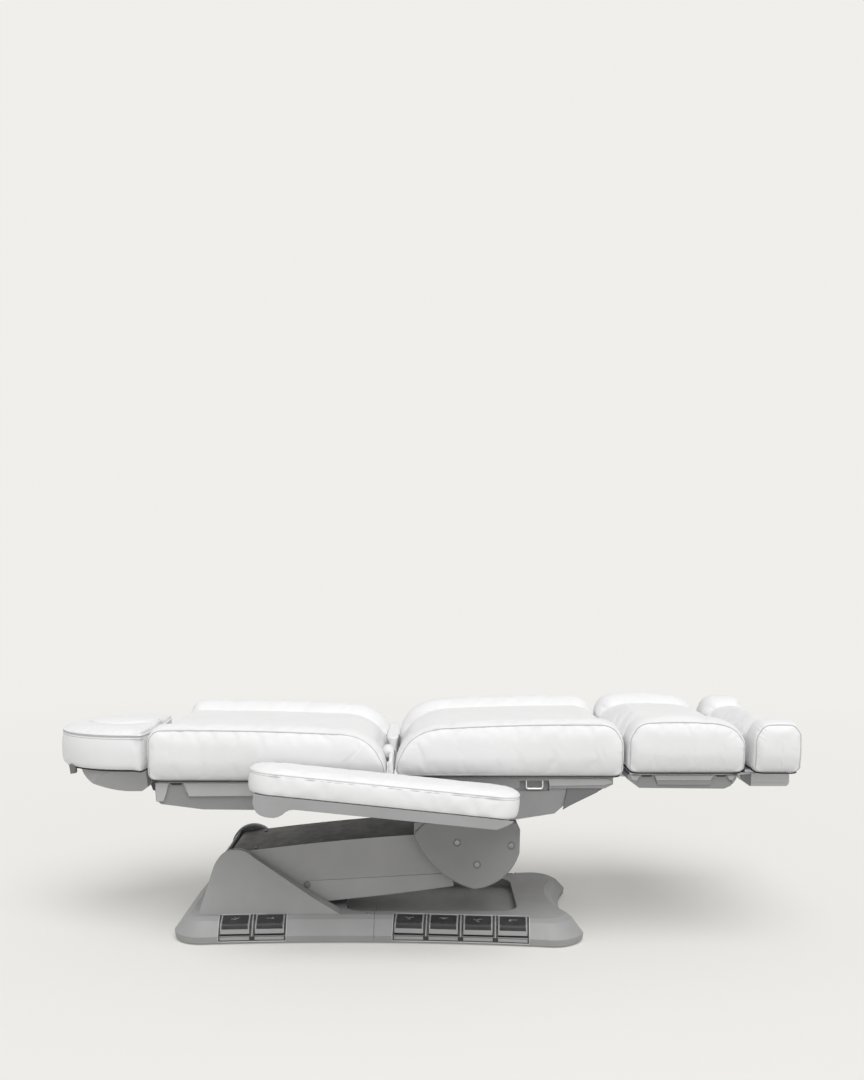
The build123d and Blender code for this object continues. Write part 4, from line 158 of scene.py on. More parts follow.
# Cushions: the section across, the gathered corners and the seams' grooves
WALL_BACK = 2 * MM
LOOP_POINTS = 176
UNDER_TUCK = 16 * MM
SEAM_IN = 8 * MM
PANEL_IN = 108 * MM
CREST_IN = 54 * MM
VALLEY = 27 * MM
PANEL_CROWN = 9 * MM
SEAM_DROP = 7 * MM
BOLSTER_POWER = 2.3
CORNER = 15 * MM
SIDE_BULGE = 7 * MM
DRAW_IN = 15 * MM
DRAW_HEIGHT = 72 * MM
SEAM_GROOVE = 2.2 * MM
GROOVE_HALF = 3 * MM
FLAT_CROWN = 0.006
FLAT_POINTS = 40
UNDER_FULLNESS = 0.55
INNER_ROWS, OUTER_ROWS = 20, 11
FACING_UP = (-0.12, 0.5)
END_SHARE = 0.5
PANEL_GROOVE = 0.6
DRAW_POWER = 1.8
BULGE_REACH, BULGE_POWER = 0.36, 2.5
TUCK_REACH, TUCK_SHARE = 0.1, 0.6
UNDER_HELD = 2 * MM
WELT_RADIUS = 1.5 * MM
BOARD_SHORT = 0.65


# Curves
BEND_POINTS = 24


def bend(start, corner, end, fullness):
    """Points of a smooth turn from start to end that leans into a corner."""
    p0, pc, p3 = (np.array(p, float) for p in (start, corner, end))
    p1, p2 = p0 + (pc - p0) * fullness, p3 + (pc - p3) * fullness
    t = np.linspace(0, 1, BEND_POINTS)[:, None]
    return (1 - t) ** 3 * p0 + 3 * (1 - t) ** 2 * t * p1 + 3 * (1 - t) * t**2 * p2 + t**3 * p3


def run_of(line):
    """How far along a line each of its points lies."""
    steps = np.linalg.norm(np.diff(line, axis=0), axis=1)
    return np.concatenate([[0], np.cumsum(steps)])


def resample(points, count):
    """Points evenly spaced along a line, the last one left out."""
    points = np.array(points, float)
    places = run_of(points)
    wanted = np.linspace(0, places[-1], count, endpoint=False)
    return np.stack([np.interp(wanted, places, column) for column in points.T], axis=1)


def outward(loop):
    """Unit normals of a closed plane loop, on its outer side."""
    along = np.roll(loop, -1, axis=0) - np.roll(loop, 1, axis=0)
    normal = np.stack([-along[:, 1], along[:, 0]], axis=1)
    normal /= np.linalg.norm(normal, axis=1)[:, None]
    x, y = loop.T
    area = np.sum(x * np.roll(y, -1) - np.roll(x, -1) * y)
    return normal if area < 0 else -normal


def level_loop(plan, height):
    """A loop of the plan at a height."""
    return np.column_stack([plan, np.full(len(plan), height)])


def smooth_step(value, low, high):
    t = np.clip((value - low) / (high - low), 0, 1)
    return t * t * (3 - 2 * t)


# Meshes
def make_object(name, points, faces, smooth=True):
    mesh = bpy.data.meshes.new(name)
    mesh.from_pydata([tuple(p) for p in points], [], [tuple(f) for f in faces])
    mesh.validate()
    mesh.update()
    obj = bpy.data.objects.new(name, mesh)
    bpy.context.scene.collection.objects.link(obj)
    for polygon in mesh.polygons:
        polygon.use_smooth = smooth
    return obj


def loft_faces(rows, count, first=0):
    """Quads between loops of points, with both ends closed."""
    faces = []
    for a in range(first, first + (rows - 1) * count, count):
        for k in range(count):
            m = (k + 1) % count
            faces.append((a + k, a + m, a + count + m, a + count + k))
    last = first + (rows - 1) * count
    return faces + [tuple(range(first, first + count))[::-1], tuple(range(last, last + count))]


def zipped_shell(name, loops):
    """A cover through loops of points, with both ends closed across by strips."""
    rows, count = len(loops), len(loops[0])
    faces = loft_faces(rows, count)[:-2]
    for start, turn in ((0, -1), ((rows - 1) * count, 1)):
        for i in range(count // 2):
            a, b = start + i, start + i + 1
            c, d = start + (count - i - 1) % count, start + (count - i) % count
            face = (a, b, c) if a == d else (a, b, d) if b == c else (a, b, c, d)
            faces.append(face[::turn])
    return turn_out(make_object(name, np.concatenate(loops), faces))


def turn_out(obj):
    """Make every face look outward."""
    bpy.context.view_layer.objects.active = obj
    obj.select_set(True)
    bpy.ops.object.mode_set(mode="EDIT")
    bpy.ops.mesh.select_all(action="SELECT")
    bpy.ops.mesh.normals_make_consistent(inside=False)
    bpy.ops.object.mode_set(mode="OBJECT")
    obj.select_set(False)
    return obj


def read_vectors(mesh, kind="co"):
    """Each point's place, or its normal."""
    flat = np.zeros(len(mesh.vertices) * 3)
    mesh.vertices.foreach_get(kind, flat)
    return flat.reshape(-1, 3)


def set_places(mesh, places):
    mesh.vertices.foreach_set("co", places.ravel())
    mesh.update()


def subdivide(obj):
    obj.modifiers.new("finer", "SUBSURF")
    graph = bpy.context.evaluated_depsgraph_get()
    mesh = bpy.data.meshes.new_from_object(obj.evaluated_get(graph))
    obj.modifiers.clear()
    obj.data = mesh


def loop_points(first, last):
    """The numbers of a cover's points, from one loop up to another."""
    return list(range(first * LOOP_POINTS, last * LOOP_POINTS))


SWELL_FRAMES = 20
SWELL_PRESSURE = 4.0
SWELL_END_CAP = 2 * MM
SWELL_TOP_CAP = 8 * MM
CLOTH = {
    "quality": 5,
    "mass": 0.3,
    "tension_stiffness": 18,
    "compression_stiffness": 12,
    "shear_stiffness": 6,
    "bending_stiffness": 0.6,
    "use_pressure": True,
    "vertex_group_mass": "held",
    "shrink_min": -0.012,
}


def swell(obj, held, top_cap=SWELL_TOP_CAP, pressure=SWELL_PRESSURE):
    """Fill a cover from inside with its seams held, so that it stands full between them."""
    rest = read_vectors(obj.data)
    lift = np.clip(read_vectors(obj.data, "normal")[:, 2], 0, 1)
    group = obj.vertex_groups.new(name="held")
    group.add(held, 1.0, "REPLACE")
    cloth = obj.modifiers.new("swell", "CLOTH")
    for setting, value in CLOTH.items():
        setattr(cloth.settings, setting, value)
    cloth.settings.uniform_pressure_force = pressure
    cloth.settings.effector_weights.gravity = 0
    cloth.collision_settings.use_collision = False
    cloth.point_cache.frame_start = 1
    cloth.point_cache.frame_end = SWELL_FRAMES
    scene = bpy.context.scene
    for number in range(1, SWELL_FRAMES + 1):
        scene.frame_set(number)
    graph = bpy.context.evaluated_depsgraph_get()
    moved = read_vectors(obj.evaluated_get(graph).data)
    obj.modifiers.clear()
    obj.vertex_groups.clear()
    scene.frame_set(1)
    shift = moved - rest
    length = np.linalg.norm(shift, axis=1)
    cap = SWELL_END_CAP + (top_cap - SWELL_END_CAP) * lift
    scale = np.minimum(1, cap / np.maximum(length, TINY * MM))
    set_places(obj.data, rest + shift * scale[:, None])


# A gathered seam's ripples: how fast each runs beside the first, and how high it is
RIPPLES = ((1.0, 1.0), (1.73, 0.6), (0.61, 0.5))
PHASES = 6
FADE_OUT, FADE_IN = 0.02, 0.01


def pucker(obj, line, spans, depth, wave, reach, seed):
    """Gather the cover into short folds that run off a seam, within spans of its length."""
    line = np.array(line)
    steps = np.linalg.norm(np.roll(line, -1, axis=0) - line, axis=1)
    along = np.concatenate([[0], np.cumsum(steps)[:-1]])
    total = steps.sum()
    tree = KDTree(len(line))
    for i, point in enumerate(line):
        tree.insert(point, i)
    tree.balance()
    phase = np.random.default_rng(seed).uniform(0, 2 * pi, PHASES)
    places, normals = read_vectors(obj.data), read_vectors(obj.data, "normal")
    low, high = line.min(axis=0) - 2 * reach, line.max(axis=0) + 2 * reach
    near = np.where(np.all((places > low) & (places < high), axis=1))[0]
    for index in near:
        _, i, distance = tree.find(places[index])
        if distance > 3 * reach:
            continue
        share = along[i] / total
        inside = max(
            smooth_step(share, a - FADE_OUT, a + FADE_IN) * smooth_step(-share, -b - FADE_OUT, -b + FADE_IN)
            for a, b in spans
        )
        if inside <= 0:
            continue
        turn = 2 * pi * along[i] / wave
        ripple = sum(size * sin(rate * turn + start) for (rate, size), start in zip(RIPPLES, phase))
        rise = np.exp(1 - distance / reach)
        if distance < reach:
            rise *= distance / reach
        places[index] += normals[index] * depth * ripple * inside * min(rise, 1)
    set_places(obj.data, places)


# A line is guided by the width of the chair if it climbs somewhere and never runs across
STEEP = 0.9
ACROSS = 0.5


def tube(name, line, radius, closed=True, sides=8, flat=1.0):
    """A round welt or wire along a line of points."""
    line = np.array(line, float)
    count = len(line)
    if closed:
        ahead = np.roll(line, -1, axis=0) - np.roll(line, 1, axis=0)
    else:
        ahead = np.gradient(line, axis=0)
    ahead /= np.linalg.norm(ahead, axis=1)[:, None]
    guide = np.array([0.0, 0.0, 1.0])
    if abs(ahead[:, 2]).max() > STEEP and abs(ahead[:, 1]).max() < ACROSS:
        guide = np.array([0.0, 1.0, 0.0])
    across = np.cross(ahead, guide)
    across /= np.linalg.norm(across, axis=1)[:, None]
    up = np.cross(across, ahead)
    points = []
    for i in range(count):
        for k in range(sides):
            angle = 2 * pi * k / sides
            points.append(line[i] + radius * (cos(angle) * across[i] + flat * sin(angle) * up[i]))
    faces = []
    for i in range(count if closed else count - 1):
        j = (i + 1) % count
        for k in range(sides):
            m = (k + 1) % sides
            faces.append((i * sides + k, j * sides + k, j * sides + m, i * sides + m))
    if not closed:
        faces.append(tuple(range(sides)))
        faces.append(tuple(range(count * sides - 1, (count - 1) * sides - 1, -1)))
    return make_object(name, points, faces)


# A thread's bead: how far along it each ring lies, and how thick it is there
BEAD = ((0, 0.15), (0.2, 0.85), (0.5, 1.0), (0.8, 0.85), (1, 0.15))
BEAD_SIDES = 6
THREAD_PITCH = 5 * MM
THREAD_SHARE = 0.62
THREAD_RADIUS = 0.45 * MM
THREAD_RAISE = 0.2 * MM
THREAD_TILT = 0.25
THREAD_ROW = 2
THREAD_SPANS = ((0.03, 0.14), (0.36, 0.47))


def stitch_row(name, line, normals):
    """Separate threads along a line, each a short bead that lies on the cover."""
    places = run_of(line)
    points, faces = [], []
    for number in range(int(places[-1] / THREAD_PITCH)):
        faces += loft_faces(len(BEAD), BEAD_SIDES, len(points))
        for across, size in BEAD:
            at = (number + across * THREAD_SHARE) * THREAD_PITCH
            centre = np.array([np.interp(at, places, column) for column in line.T])
            out = np.array([np.interp(at, places, column) for column in normals.T])
            out /= np.linalg.norm(out)
            i = min(np.searchsorted(places, at), len(line) - 2)
            side = np.cross(line[i + 1] - line[i], out)
            side /= np.linalg.norm(side)
            for k in range(BEAD_SIDES):
                angle = 2 * pi * k / BEAD_SIDES
                points.append(centre + THREAD_RADIUS * size * (cos(angle) * side + sin(angle) * out))
    return make_object(name, points, faces)


# Materials
def new_material(name):
    """A material with its nodes, its shader and the place on the object."""
    material = bpy.data.materials.new(name)
    material.use_nodes = True
    tree = material.node_tree
    return material, tree, tree.nodes["Principled BSDF"], add_node(tree, "TexCoord").outputs["Object"]


def feed(tree, node, **sockets):
    """Give each named socket of a node its link or its value."""
    for name, source in sockets.items():
        socket = node.inputs[name.replace("_", " ")]
        if isinstance(source, bpy.types.NodeSocket):
            tree.links.new(source, socket)
        else:
            socket.default_value = source
    return node


def add_node(tree, kind, **sockets):
    return feed(tree, tree.nodes.new("ShaderNode" + kind), **sockets)


def reckon(tree, kind, operation, *sources):
    """A node that works out something from its inputs, taken in order."""
    node = add_node(tree, kind)
    node.operation = operation
    for number, source in enumerate(sources):
        tree.links.new(source, node.inputs[number])
    return node


def noise(tree, place, scale, detail=3.0, rough=0.55):
    node = add_node(tree, "TexNoise", Vector=place, Scale=scale, Detail=detail, Roughness=rough)
    return node.outputs["Fac"]


def spread(tree, value, low, high, low_in=0.3, high_in=0.7):
    node = add_node(tree, "MapRange", Value=value, From_Min=low_in, From_Max=high_in)
    return feed(tree, node, To_Min=low, To_Max=high).outputs["Result"]


MIX_SHARE, MIX_FROM, MIX_TO, MIX_RESULT = 0, 6, 7, 2


def tint(tree, value, dark, light):
    """A colour that runs from dark to light with a value from 0 to 1."""
    node = add_node(tree, "Mix")
    node.data_type = "RGBA"
    tree.links.new(value, node.inputs[MIX_SHARE])
    for number, colour in ((MIX_FROM, dark), (MIX_TO, light)):
        if isinstance(colour, tuple):
            node.inputs[number].default_value = (*colour, 1)
        else:
            tree.links.new(colour, node.inputs[number])
    return node.outputs[MIX_RESULT]


def relief(tree, value, distance, strength, below=None):
    node = add_node(tree, "Bump", Height=value, Distance=distance, Strength=strength)
    if below is not None:
        feed(tree, node, Normal=below)
    return node.outputs["Normal"]


def blend_into(tree, end, share, first, second):
    """Send a blend of two shaders into the tree's output."""
    mix = add_node(tree, "MixShader")
    for number, source in enumerate((share, first, second)):
        tree.links.new(source, mix.inputs[number])
    feed(tree, tree.nodes[end], Surface=mix.outputs["Shader"])


def scaled(colour, factor):
    return tuple(min(1.0, c * factor) for c in colour)


def vinyl_material(name, colour):
    """Coated fabric: a fine pebbled grain, faint creases and a soft gloss."""
    material, tree, shader, place = new_material(name)
    cloud = spread(tree, noise(tree, place, 9.0), 0, 1)
    grain = add_node(tree, "TexVoronoi", Vector=place, Scale=780.0)
    pebbles = relief(tree, grain.outputs["Distance"], 0.00012, 0.5)
    creases = relief(tree, noise(tree, place, 150.0, 4.0), 0.0004, 0.35, pebbles)
    feed(
        tree, shader,
        Base_Color=tint(tree, cloud, scaled(colour, 0.975), scaled(colour, 1.01)),
        Roughness=spread(tree, noise(tree, place, 60.0), 0.4, 0.5),
        Normal=relief(tree, noise(tree, place, 16.0, 2.0), 0.003, 0.25, creases),
        Specular_IOR_Level=0.4, Sheen_Weight=0.05, Sheen_Roughness=0.5, Coat_Weight=0.04, Coat_Roughness=0.3,
    )
    return material


def plastic_material(name, colour, rough, edge):
    """Moulded plastic: a fine spark texture, cloudy tone and softened edges, and on some a top darkened as
    painted shade.
    """
    material, tree, shader, place = new_material(name)
    cloud = spread(tree, noise(tree, place, 7.0), 0, 1)
    tone = tint(tree, cloud, scaled(colour, 0.94), scaled(colour, 1.05))
    # Painted shade: faces that look upward darken towards this colour.
    if name in PAINTED_SHADE_TOP:
        facing = add_node(tree, "TexCoord").outputs["Normal"]
        upward = add_node(tree, "SeparateXYZ", Vector=facing).outputs["Z"]
        tone = tint(tree, spread(tree, upward, 0, 1, 0.7, 0.93), tone, PAINTED_SHADE_TOP[name])
    soft = add_node(tree, "Bevel", Radius=edge * MM)
    soft.samples = 6
    grain = COARSE_GRAIN.get(name, GRAIN)
    texture = relief(tree, noise(tree, place, 1400.0, 2.0), grain, 0.6, soft.outputs["Normal"])
    feed(
        tree, shader,
        Base_Color=tone,
        Roughness=spread(tree, noise(tree, place, 35.0), rough - 0.05, rough + 0.07),
        Normal=relief(tree, noise(tree, place, 5.0, 1.0), 0.002, 0.12, texture),
        Specular_IOR_Level=0.45,
    )
    return material


def metal_material(name, colour, rough):
    """Turned or drawn metal, with faint lines along it."""
    material, tree, shader, place = new_material(name)
    mapping = add_node(tree, "Mapping", Vector=place, Scale=(40.0, 900.0, 900.0))
    lines = noise(tree, mapping.outputs["Vector"], 1.0, 2.0)
    cloud = spread(tree, noise(tree, place, 18.0), 0, 1)
    soft = add_node(tree, "Bevel", Radius=0.8 * MM)
    feed(
        tree, shader,
        Base_Color=tint(tree, cloud, scaled(colour, 0.9), scaled(colour, 1.06)),
        Roughness=spread(tree, lines, rough - 0.05, rough + 0.08),
        Normal=relief(tree, lines, 0.00003, 0.5, soft.outputs["Normal"]),
        Metallic=1.0,
    )
    return material


def rubber_material(name, colour, rough):
    """Black rubber or soft plastic, with a dull, slightly dusty grain."""
    material, tree, shader, place = new_material(name)
    dust = noise(tree, place, 45.0, 5.0, 0.7)
    feed(
        tree, shader,
        Base_Color=tint(tree, spread(tree, dust, 0, 1, 0.4, 0.75), colour, scaled(colour, 1.9)),
        Roughness=spread(tree, dust, rough - 0.08, rough + 0.1),
        Normal=relief(tree, noise(tree, place, 900.0, 2.0), 0.00008, 0.7),
    )
    return material


def seen_rays(tree):
    """One for rays of the camera, of gloss and of glass, and zero for the light that bounces."""
    path = add_node(tree, "LightPath")
    value = path.outputs["Is Camera Ray"]
    for kind in ("Is Glossy Ray", "Is Transmission Ray"):
        value = reckon(tree, "Math", "MAXIMUM", value, path.outputs[kind]).outputs[0]
    return value


def paper_material():
    """The pale floor, which keeps the chair's shadow and passes into the backdrop far off."""
    material, tree, shader, place = new_material("paper")
    grain = spread(tree, noise(tree, place, 3.0), 0, 1)
    pale = tint(tree, grain, scaled(FLOOR_SEEN, 0.998), FLOOR_SEEN)
    seen = seen_rays(tree)
    tone = tint(tree, seen, FLOOR_BOUNCE, pale)
    feed(tree, shader, Base_Color=tone, Roughness=0.95, Specular_IOR_Level=0.0)
    distance = reckon(tree, "VectorMath", "LENGTH", place)
    fade = spread(tree, distance.outputs["Value"], FLOOR_GLOW, 1, *FLOOR_FADE)
    share = reckon(tree, "Math", "MULTIPLY", fade, seen)
    glow = add_node(tree, "Emission", Color=(*PAPER, 1), Strength=1.0)
    blend_into(tree, "Material Output", share.outputs[0], shader.outputs["BSDF"], glow.outputs["Emission"])
    return material


looks = {name: vinyl_material(name, colour) for name, colour in VINYLS.items()}
looks.update({name: plastic_material(name, *row) for name, row in PLASTICS.items()})
looks.update({name: rubber_material(name, *row) for name, row in RUBBERS.items()})
looks.update({name: metal_material(name, *row) for name, row in METALS.items()})


def dress_nodes():
    """Every piece of the frame takes the finish that its slot in the record names, or its own."""
    for entry in frame["record"]["subparts"]:
        node = entry["node"]
        mesh = frame["nodes"][node].data
        mesh.materials.clear()
        slot = entry["material_slot"]
        mesh.materials.append(looks[NODE_LOOKS.get(node, SLOT_LOOKS.get(slot, slot))])


def wear(obj, look, body):
    """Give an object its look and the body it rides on."""
    obj.data.materials.clear()
    obj.data.materials.append(looks[look])
    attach(obj, body)
    return obj


# Painted shade: a black tube along each cushion's lower edge.
SHADE_EDGE_RADIUS = 2 * MM


def rounded_rectangle(half_x, half_y, radius, steps=5):
    points = []
    for sx, sy, turn in ((1, 1, 0), (-1, 1, 90), (-1, -1, 180), (1, -1, 270)):
        for k in range(steps + 1):
            angle = radians(turn + 90 * k / steps)
            x, y = half_x - radius, half_y - radius
            points.append((sx * x + radius * cos(angle), sy * y + radius * sin(angle)))
    return np.array(points)


def board_shade_edge(body, loop, level):
    """The black edge of the board that a cushion is drawn over, a dark tube of painted shade under the
    cushion.
    """
    line = [(x, y, level - 0.6 * SHADE_EDGE_RADIUS) for x, y in loop]
    wear(tube(f"{body}_board_shade_edge", line, SHADE_EDGE_RADIUS), "foot_rubber", body)


# Box cushions: a strip that wraps over the long outline, and a panel at each side
def side_outline(rear, front, deck, tops, rolls):
    """The cushion's long outline, from the middle of its rear end over the top and back below."""
    (rear_top, front_top), (rear_roll, front_roll) = tops, rolls
    middle = deck + (min(tops) - deck) / 2
    turn_rear = (rear + rear_roll[0], rear_top)
    turn_front = (front - front_roll[0], front_top)
    crown = FLAT_CROWN * (front - rear)
    t = np.linspace(0, 1, FLAT_POINTS)[:, None]
    flat = np.array(turn_rear) * (1 - t) + np.array(turn_front) * t
    flat[:, 1] += crown * 4 * (t * (1 - t))[:, 0]
    upper = np.concatenate([
        [(rear, min(middle, rear_top - rear_roll[1]))],
        bend((rear, rear_top - rear_roll[1]), (rear, rear_top), turn_rear, rear_roll[2]),
        flat,
        bend(turn_front, (front, front_top), (front, front_top - front_roll[1]), front_roll[2]),
        [(front, min(middle, front_top - front_roll[1]))],
    ])
    lower = np.concatenate([
        [(front, min(middle, front_top - front_roll[1]))],
        bend((front, deck + UNDER_TUCK), (front, deck), (front - UNDER_TUCK, deck), UNDER_FULLNESS),
        bend((rear + UNDER_TUCK, deck), (rear, deck), (rear, deck + UNDER_TUCK), UNDER_FULLNESS),
        [(rear, min(middle, rear_top - rear_roll[1]))],
    ])
    half = LOOP_POINTS // 2
    return np.concatenate([resample(upper, half), resample(lower, half)])


def section_drop(y, half):
    """How far below the bolsters' crests the top lies, at a distance from the middle."""
    y = abs(y)
    panel, crest, seam = half - PANEL_IN, half - CREST_IN, half - SEAM_IN
    if y <= panel:
        return VALLEY - PANEL_CROWN * (1 - (y / panel) ** 2)
    if y <= crest:
        return VALLEY * ((crest - y) / (crest - panel)) ** BOLSTER_POWER
    return SEAM_DROP * ((y - crest) / (seam - crest)) ** BOLSTER_POWER


def corner_drop(y, half):
    """How far the ends draw in at the upright corners."""
    past = min(1.0, max(0.0, (abs(y) - (half - CORNER)) / CORNER))
    return CORNER * (1 - (1 - past**2) ** 0.5)


def strip_rows(half):
    """Distances from the middle at which the strip has a loop of points."""
    panel, seam = half - PANEL_IN, half - SEAM_IN
    inner = list(np.linspace(0, panel - 2 * GROOVE_HALF, INNER_ROWS))
    rise = [panel - GROOVE_HALF, panel, panel + GROOVE_HALF]
    rise += list(np.linspace(panel + 3 * GROOVE_HALF, seam - 3 * GROOVE_HALF, OUTER_ROWS))
    right = inner + rise + [seam - GROOVE_HALF, seam - GROOVE_HALF / 2, seam]
    return [-y for y in reversed(right[1:])] + right


CAP_SHARES = (0.03, 0.07, 0.14, 0.24, 0.36, 0.5, 0.64, 0.78)


def side_panel(edge, side, ends, deck, h):
    """Loops of a bulging side panel, which close in from its seam."""
    rear, front = ends
    x = np.clip(edge[:, 0], rear + h, front - h)
    spine = np.stack([x, edge[:, 1], np.full(len(edge), deck + h)], axis=1)
    loops = []
    for share in CAP_SHARES:
        loop = edge + (spine - edge) * share
        out = SIDE_BULGE * (1 - (1 - min(1, share / BULGE_REACH)) ** BULGE_POWER)
        tuck = smooth_step(deck + 3 * UNDER_TUCK - loop[:, 2], 0, 3 * UNDER_TUCK) * SIDE_BULGE
        loop[:, 1] += side * (out - tuck * min(1, share / TUCK_REACH) * TUCK_SHARE)
        loops.append(loop)
    return loops


def box_cushion(name, node, tops, rolls, gathers, seed):
    """One seat, back, leg or foot cushion, and the loops that its welts and threads follow."""
    low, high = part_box(node)
    half = high.y - WALL_BACK
    rear, front, deck = low.x + WALL_BACK, high.x - WALL_BACK, low.z
    levels = (deck + tops[0] - WALL_BACK, deck + tops[1] - WALL_BACK)
    outline = side_outline(rear, front, deck, levels, rolls)
    normal = outward(outline)
    upward = smooth_step(normal[:, 1], *FACING_UP)
    endward = np.abs(normal[:, 0]) * (1 - END_SHARE * upward)
    rows = strip_rows(half)
    seam = half - SEAM_IN
    panel = half - PANEL_IN
    loops, held = [], []
    for y in rows:
        inset = upward * section_drop(y, half) + endward * corner_drop(y, half)
        if abs(abs(y) - seam) < TINY:
            inset = inset + SEAM_GROOVE
        if abs(abs(y) - panel) < TINY:
            inset = inset + SEAM_GROOVE * upward * PANEL_GROOVE
        loop = outline - normal * inset[:, None]
        loops.append(np.stack([loop[:, 0], np.full(len(loop), y), loop[:, 1]], axis=1))
    caps = [
        side_panel(edge, side, (rear, front), deck, (levels[0] - deck) / 2)
        for side, edge in ((-1, loops[0]), (1, loops[-1]))
    ]
    everything = caps[0][::-1] + loops + caps[1]
    for loop in everything:
        low_share = np.clip((deck + DRAW_HEIGHT - loop[:, 2]) / DRAW_HEIGHT, 0, 1)
        loop[:, 1] *= 1 - low_share**DRAW_POWER * DRAW_IN / half
    obj = zipped_shell(name, everything)
    first = len(CAP_SHARES)
    seam_rows = (first, first + len(rows) - 1)
    for row in seam_rows:
        held += loop_points(row, row + 1)
    for number, y in enumerate(rows):
        if abs(abs(y) - panel) < TINY:
            held += loop_points(first + number, first + number + 1)
    held += [int(i) for i in np.where(read_vectors(obj.data)[:, 2] < deck + UNDER_HELD)[0]]
    swell(obj, held)
    subdivide(obj)
    for shift, row in enumerate(seam_rows):
        pucker(obj, everything[row], *gathers, seed + 10 * shift)
    return obj, everything, seam_rows, normal


def thread_rows(name, everything, seam_rows, normal):
    """Top-stitching on the strip beside each side seam, where the outline turns."""
    made = []
    for (label, side), row in zip(SIDES, seam_rows):
        inner = everything[row - side * THREAD_ROW]
        count = len(inner)
        for number, (start, end) in enumerate(THREAD_SPANS):
            chosen = np.arange(int(start * count), int(end * count))
            sideways = np.full(len(chosen), side * THREAD_TILT)
            out = np.stack([normal[chosen, 0], sideways, normal[chosen, 1]], axis=1)
            line = inner[chosen] + out * THREAD_RAISE
            made.append(stitch_row(f"{name}_thread_{label}_{number + 1}", line, out))
    return made


def seam_welts(name, everything, seam_rows):
    """The sewn edge that stands in each side seam's groove, darker as painted shade in it."""
    return [
        tube(f"{name}_welt_{label}", everything[row], WELT_RADIUS)
        for (label, _), row in zip(SIDES, seam_rows)
    ]


# Cushions by body: solid, heights of the top, rolls as run, drop and fullness, gathers and their seed
BOX_CUSHIONS = {
    "seat": ("seat_cushion", (0.131, 0.139), ((0.137, 0.112, 0.62), (0.058, 0.056, 0.6)),
             (((0.44, 0.52),), 0.25 * MM, 13 * MM, 7 * MM), 3),
    "back": ("back_cushion", (0.136, 0.127), ((0.034, 0.03, 0.6), (0.124, 0.104, 0.6)),
             (((0.4, 0.48),), 0.2 * MM, 13 * MM, 7 * MM), 5),
    "leg": ("leg_cushion", (0.135, 0.135), ((0.056, 0.055, 0.62), (0.1, 0.06, 0.62)),
            (((0.4, 0.48),), 0.25 * MM, 12 * MM, 7 * MM), 7),
    "foot": ("foot_cushion", (0.13, 0.13), ((0.04, 0.048, 0.6), (0.03, 0.034, 0.6)),
             (((0.07, 0.13),), 0.5 * MM, 13 * MM, 8 * MM), 9),
}


def build_box_cushions():
    """The seat, back, leg and foot cushions, each with its welts, its threads and its board's edge, black as
    painted shade.
    """
    for body, (node, tops, rolls, gathers, seed) in BOX_CUSHIONS.items():
        obj, everything, seam_rows, normal = box_cushion(f"{body}_pad", node, tops, rolls, gathers, seed)
        wear(obj, "vinyl_white", body)
        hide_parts(node)
        for welt in seam_welts(f"{body}_pad", everything, seam_rows):
            wear(welt, "seam_shade_vinyl", body)
        low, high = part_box(node)
        middle = (low.x + high.x) / 2
        reach = (high.x - low.x) / 2 - BOARD_SHORT * UNDER_TUCK
        loop = rounded_rectangle(reach, high.y - WALL_BACK - DRAW_IN - 1 * MM, CORNER + 5 * MM)
        board_shade_edge(body, [(middle + x, y) for x, y in loop], low.z)
        for threads in thread_rows(f"{body}_pad", everything, seam_rows, normal):
            wear(threads, "thread_white", body)


# Boxed pads: a flat outline, an upright boxing strip, a welt and a crowned top
def round_plan(rear, front, half, rear_run, front_run, power):
    """A plan outline with rounded ends, from the middle of its rear end round by the right side."""
    def quarter(x_from, run, sign, steps=30):
        t = np.linspace(0, pi / 2, steps)
        return x_from + sign * run * np.sin(t) ** (2 / power), half * np.cos(t) ** (2 / power)

    x1, y1 = quarter(rear + rear_run, rear_run, -1)
    x2, y2 = quarter(front - front_run, front_run, 1)
    right = np.concatenate([
        np.stack([x1[::-1], -y1[::-1]], axis=1), np.stack([x2, -y2], axis=1),
    ])
    count = LOOP_POINTS // 2
    first = resample(right, count)
    second = resample((right * np.array([1, -1]))[::-1], count)
    return np.concatenate([first, second])


def spine_loops(outline, shares, reach):
    """Loops that close in from an outline towards its middle line."""
    low, high = outline[:, 0].min() + reach, outline[:, 0].max() - reach
    spine = np.stack([np.clip(outline[:, 0], low, high), np.zeros(len(outline))], axis=1)
    return [outline + (spine - outline) * share for share in shares]


ARMREST_SLOPE = radians(-5.8)
ARMREST_DEEP = 46 * MM
ARMREST_SIDE = 55 * MM
ARMREST_BEYOND = (7 * MM, 10 * MM)
ARMREST_CROWN = 11 * MM

# Rings of an armrest's pad from below to its shoulder, as inset and height in millimetres
ARMREST_RINGS = (
    (14, 0.4), (7, 0.4), (4, 2.5), (1.6, 8), (0.4, 16), (0, 25), (0.5, 33),
    (1.4, 39), (2.2, 42.4), (3.8, 44), (2.6, 45.8), (4.4, 48), (8, 50.2), (13, 52),
)
ARMREST_TOPS = (0.1, 0.22, 0.36, 0.52, 0.68, 0.82)
BOTTOM_SHARES = (0.35, 0.65, 0.85)
ARMREST_ENDS = (62 * MM, 50 * MM)
ARMREST_POWER = 2.2
ARMREST_DOME = 3.4 * MM
ARMREST_HELD, ARMREST_SEAM = 5, 9
ARMREST_FILL = {"top_cap": 2.5 * MM, "pressure": 2.0}
# Each line round the pad: its inset, its height and its radius in millimetres, and its look
# The seam line round the pad is darker vinyl: painted shade along the seam.
ARMREST_LINES = (("piping", 2.2, 44, 1.8, "vinyl_white"), ("seam", 1.6, 39, 0.9, "seam_shade_vinyl"))


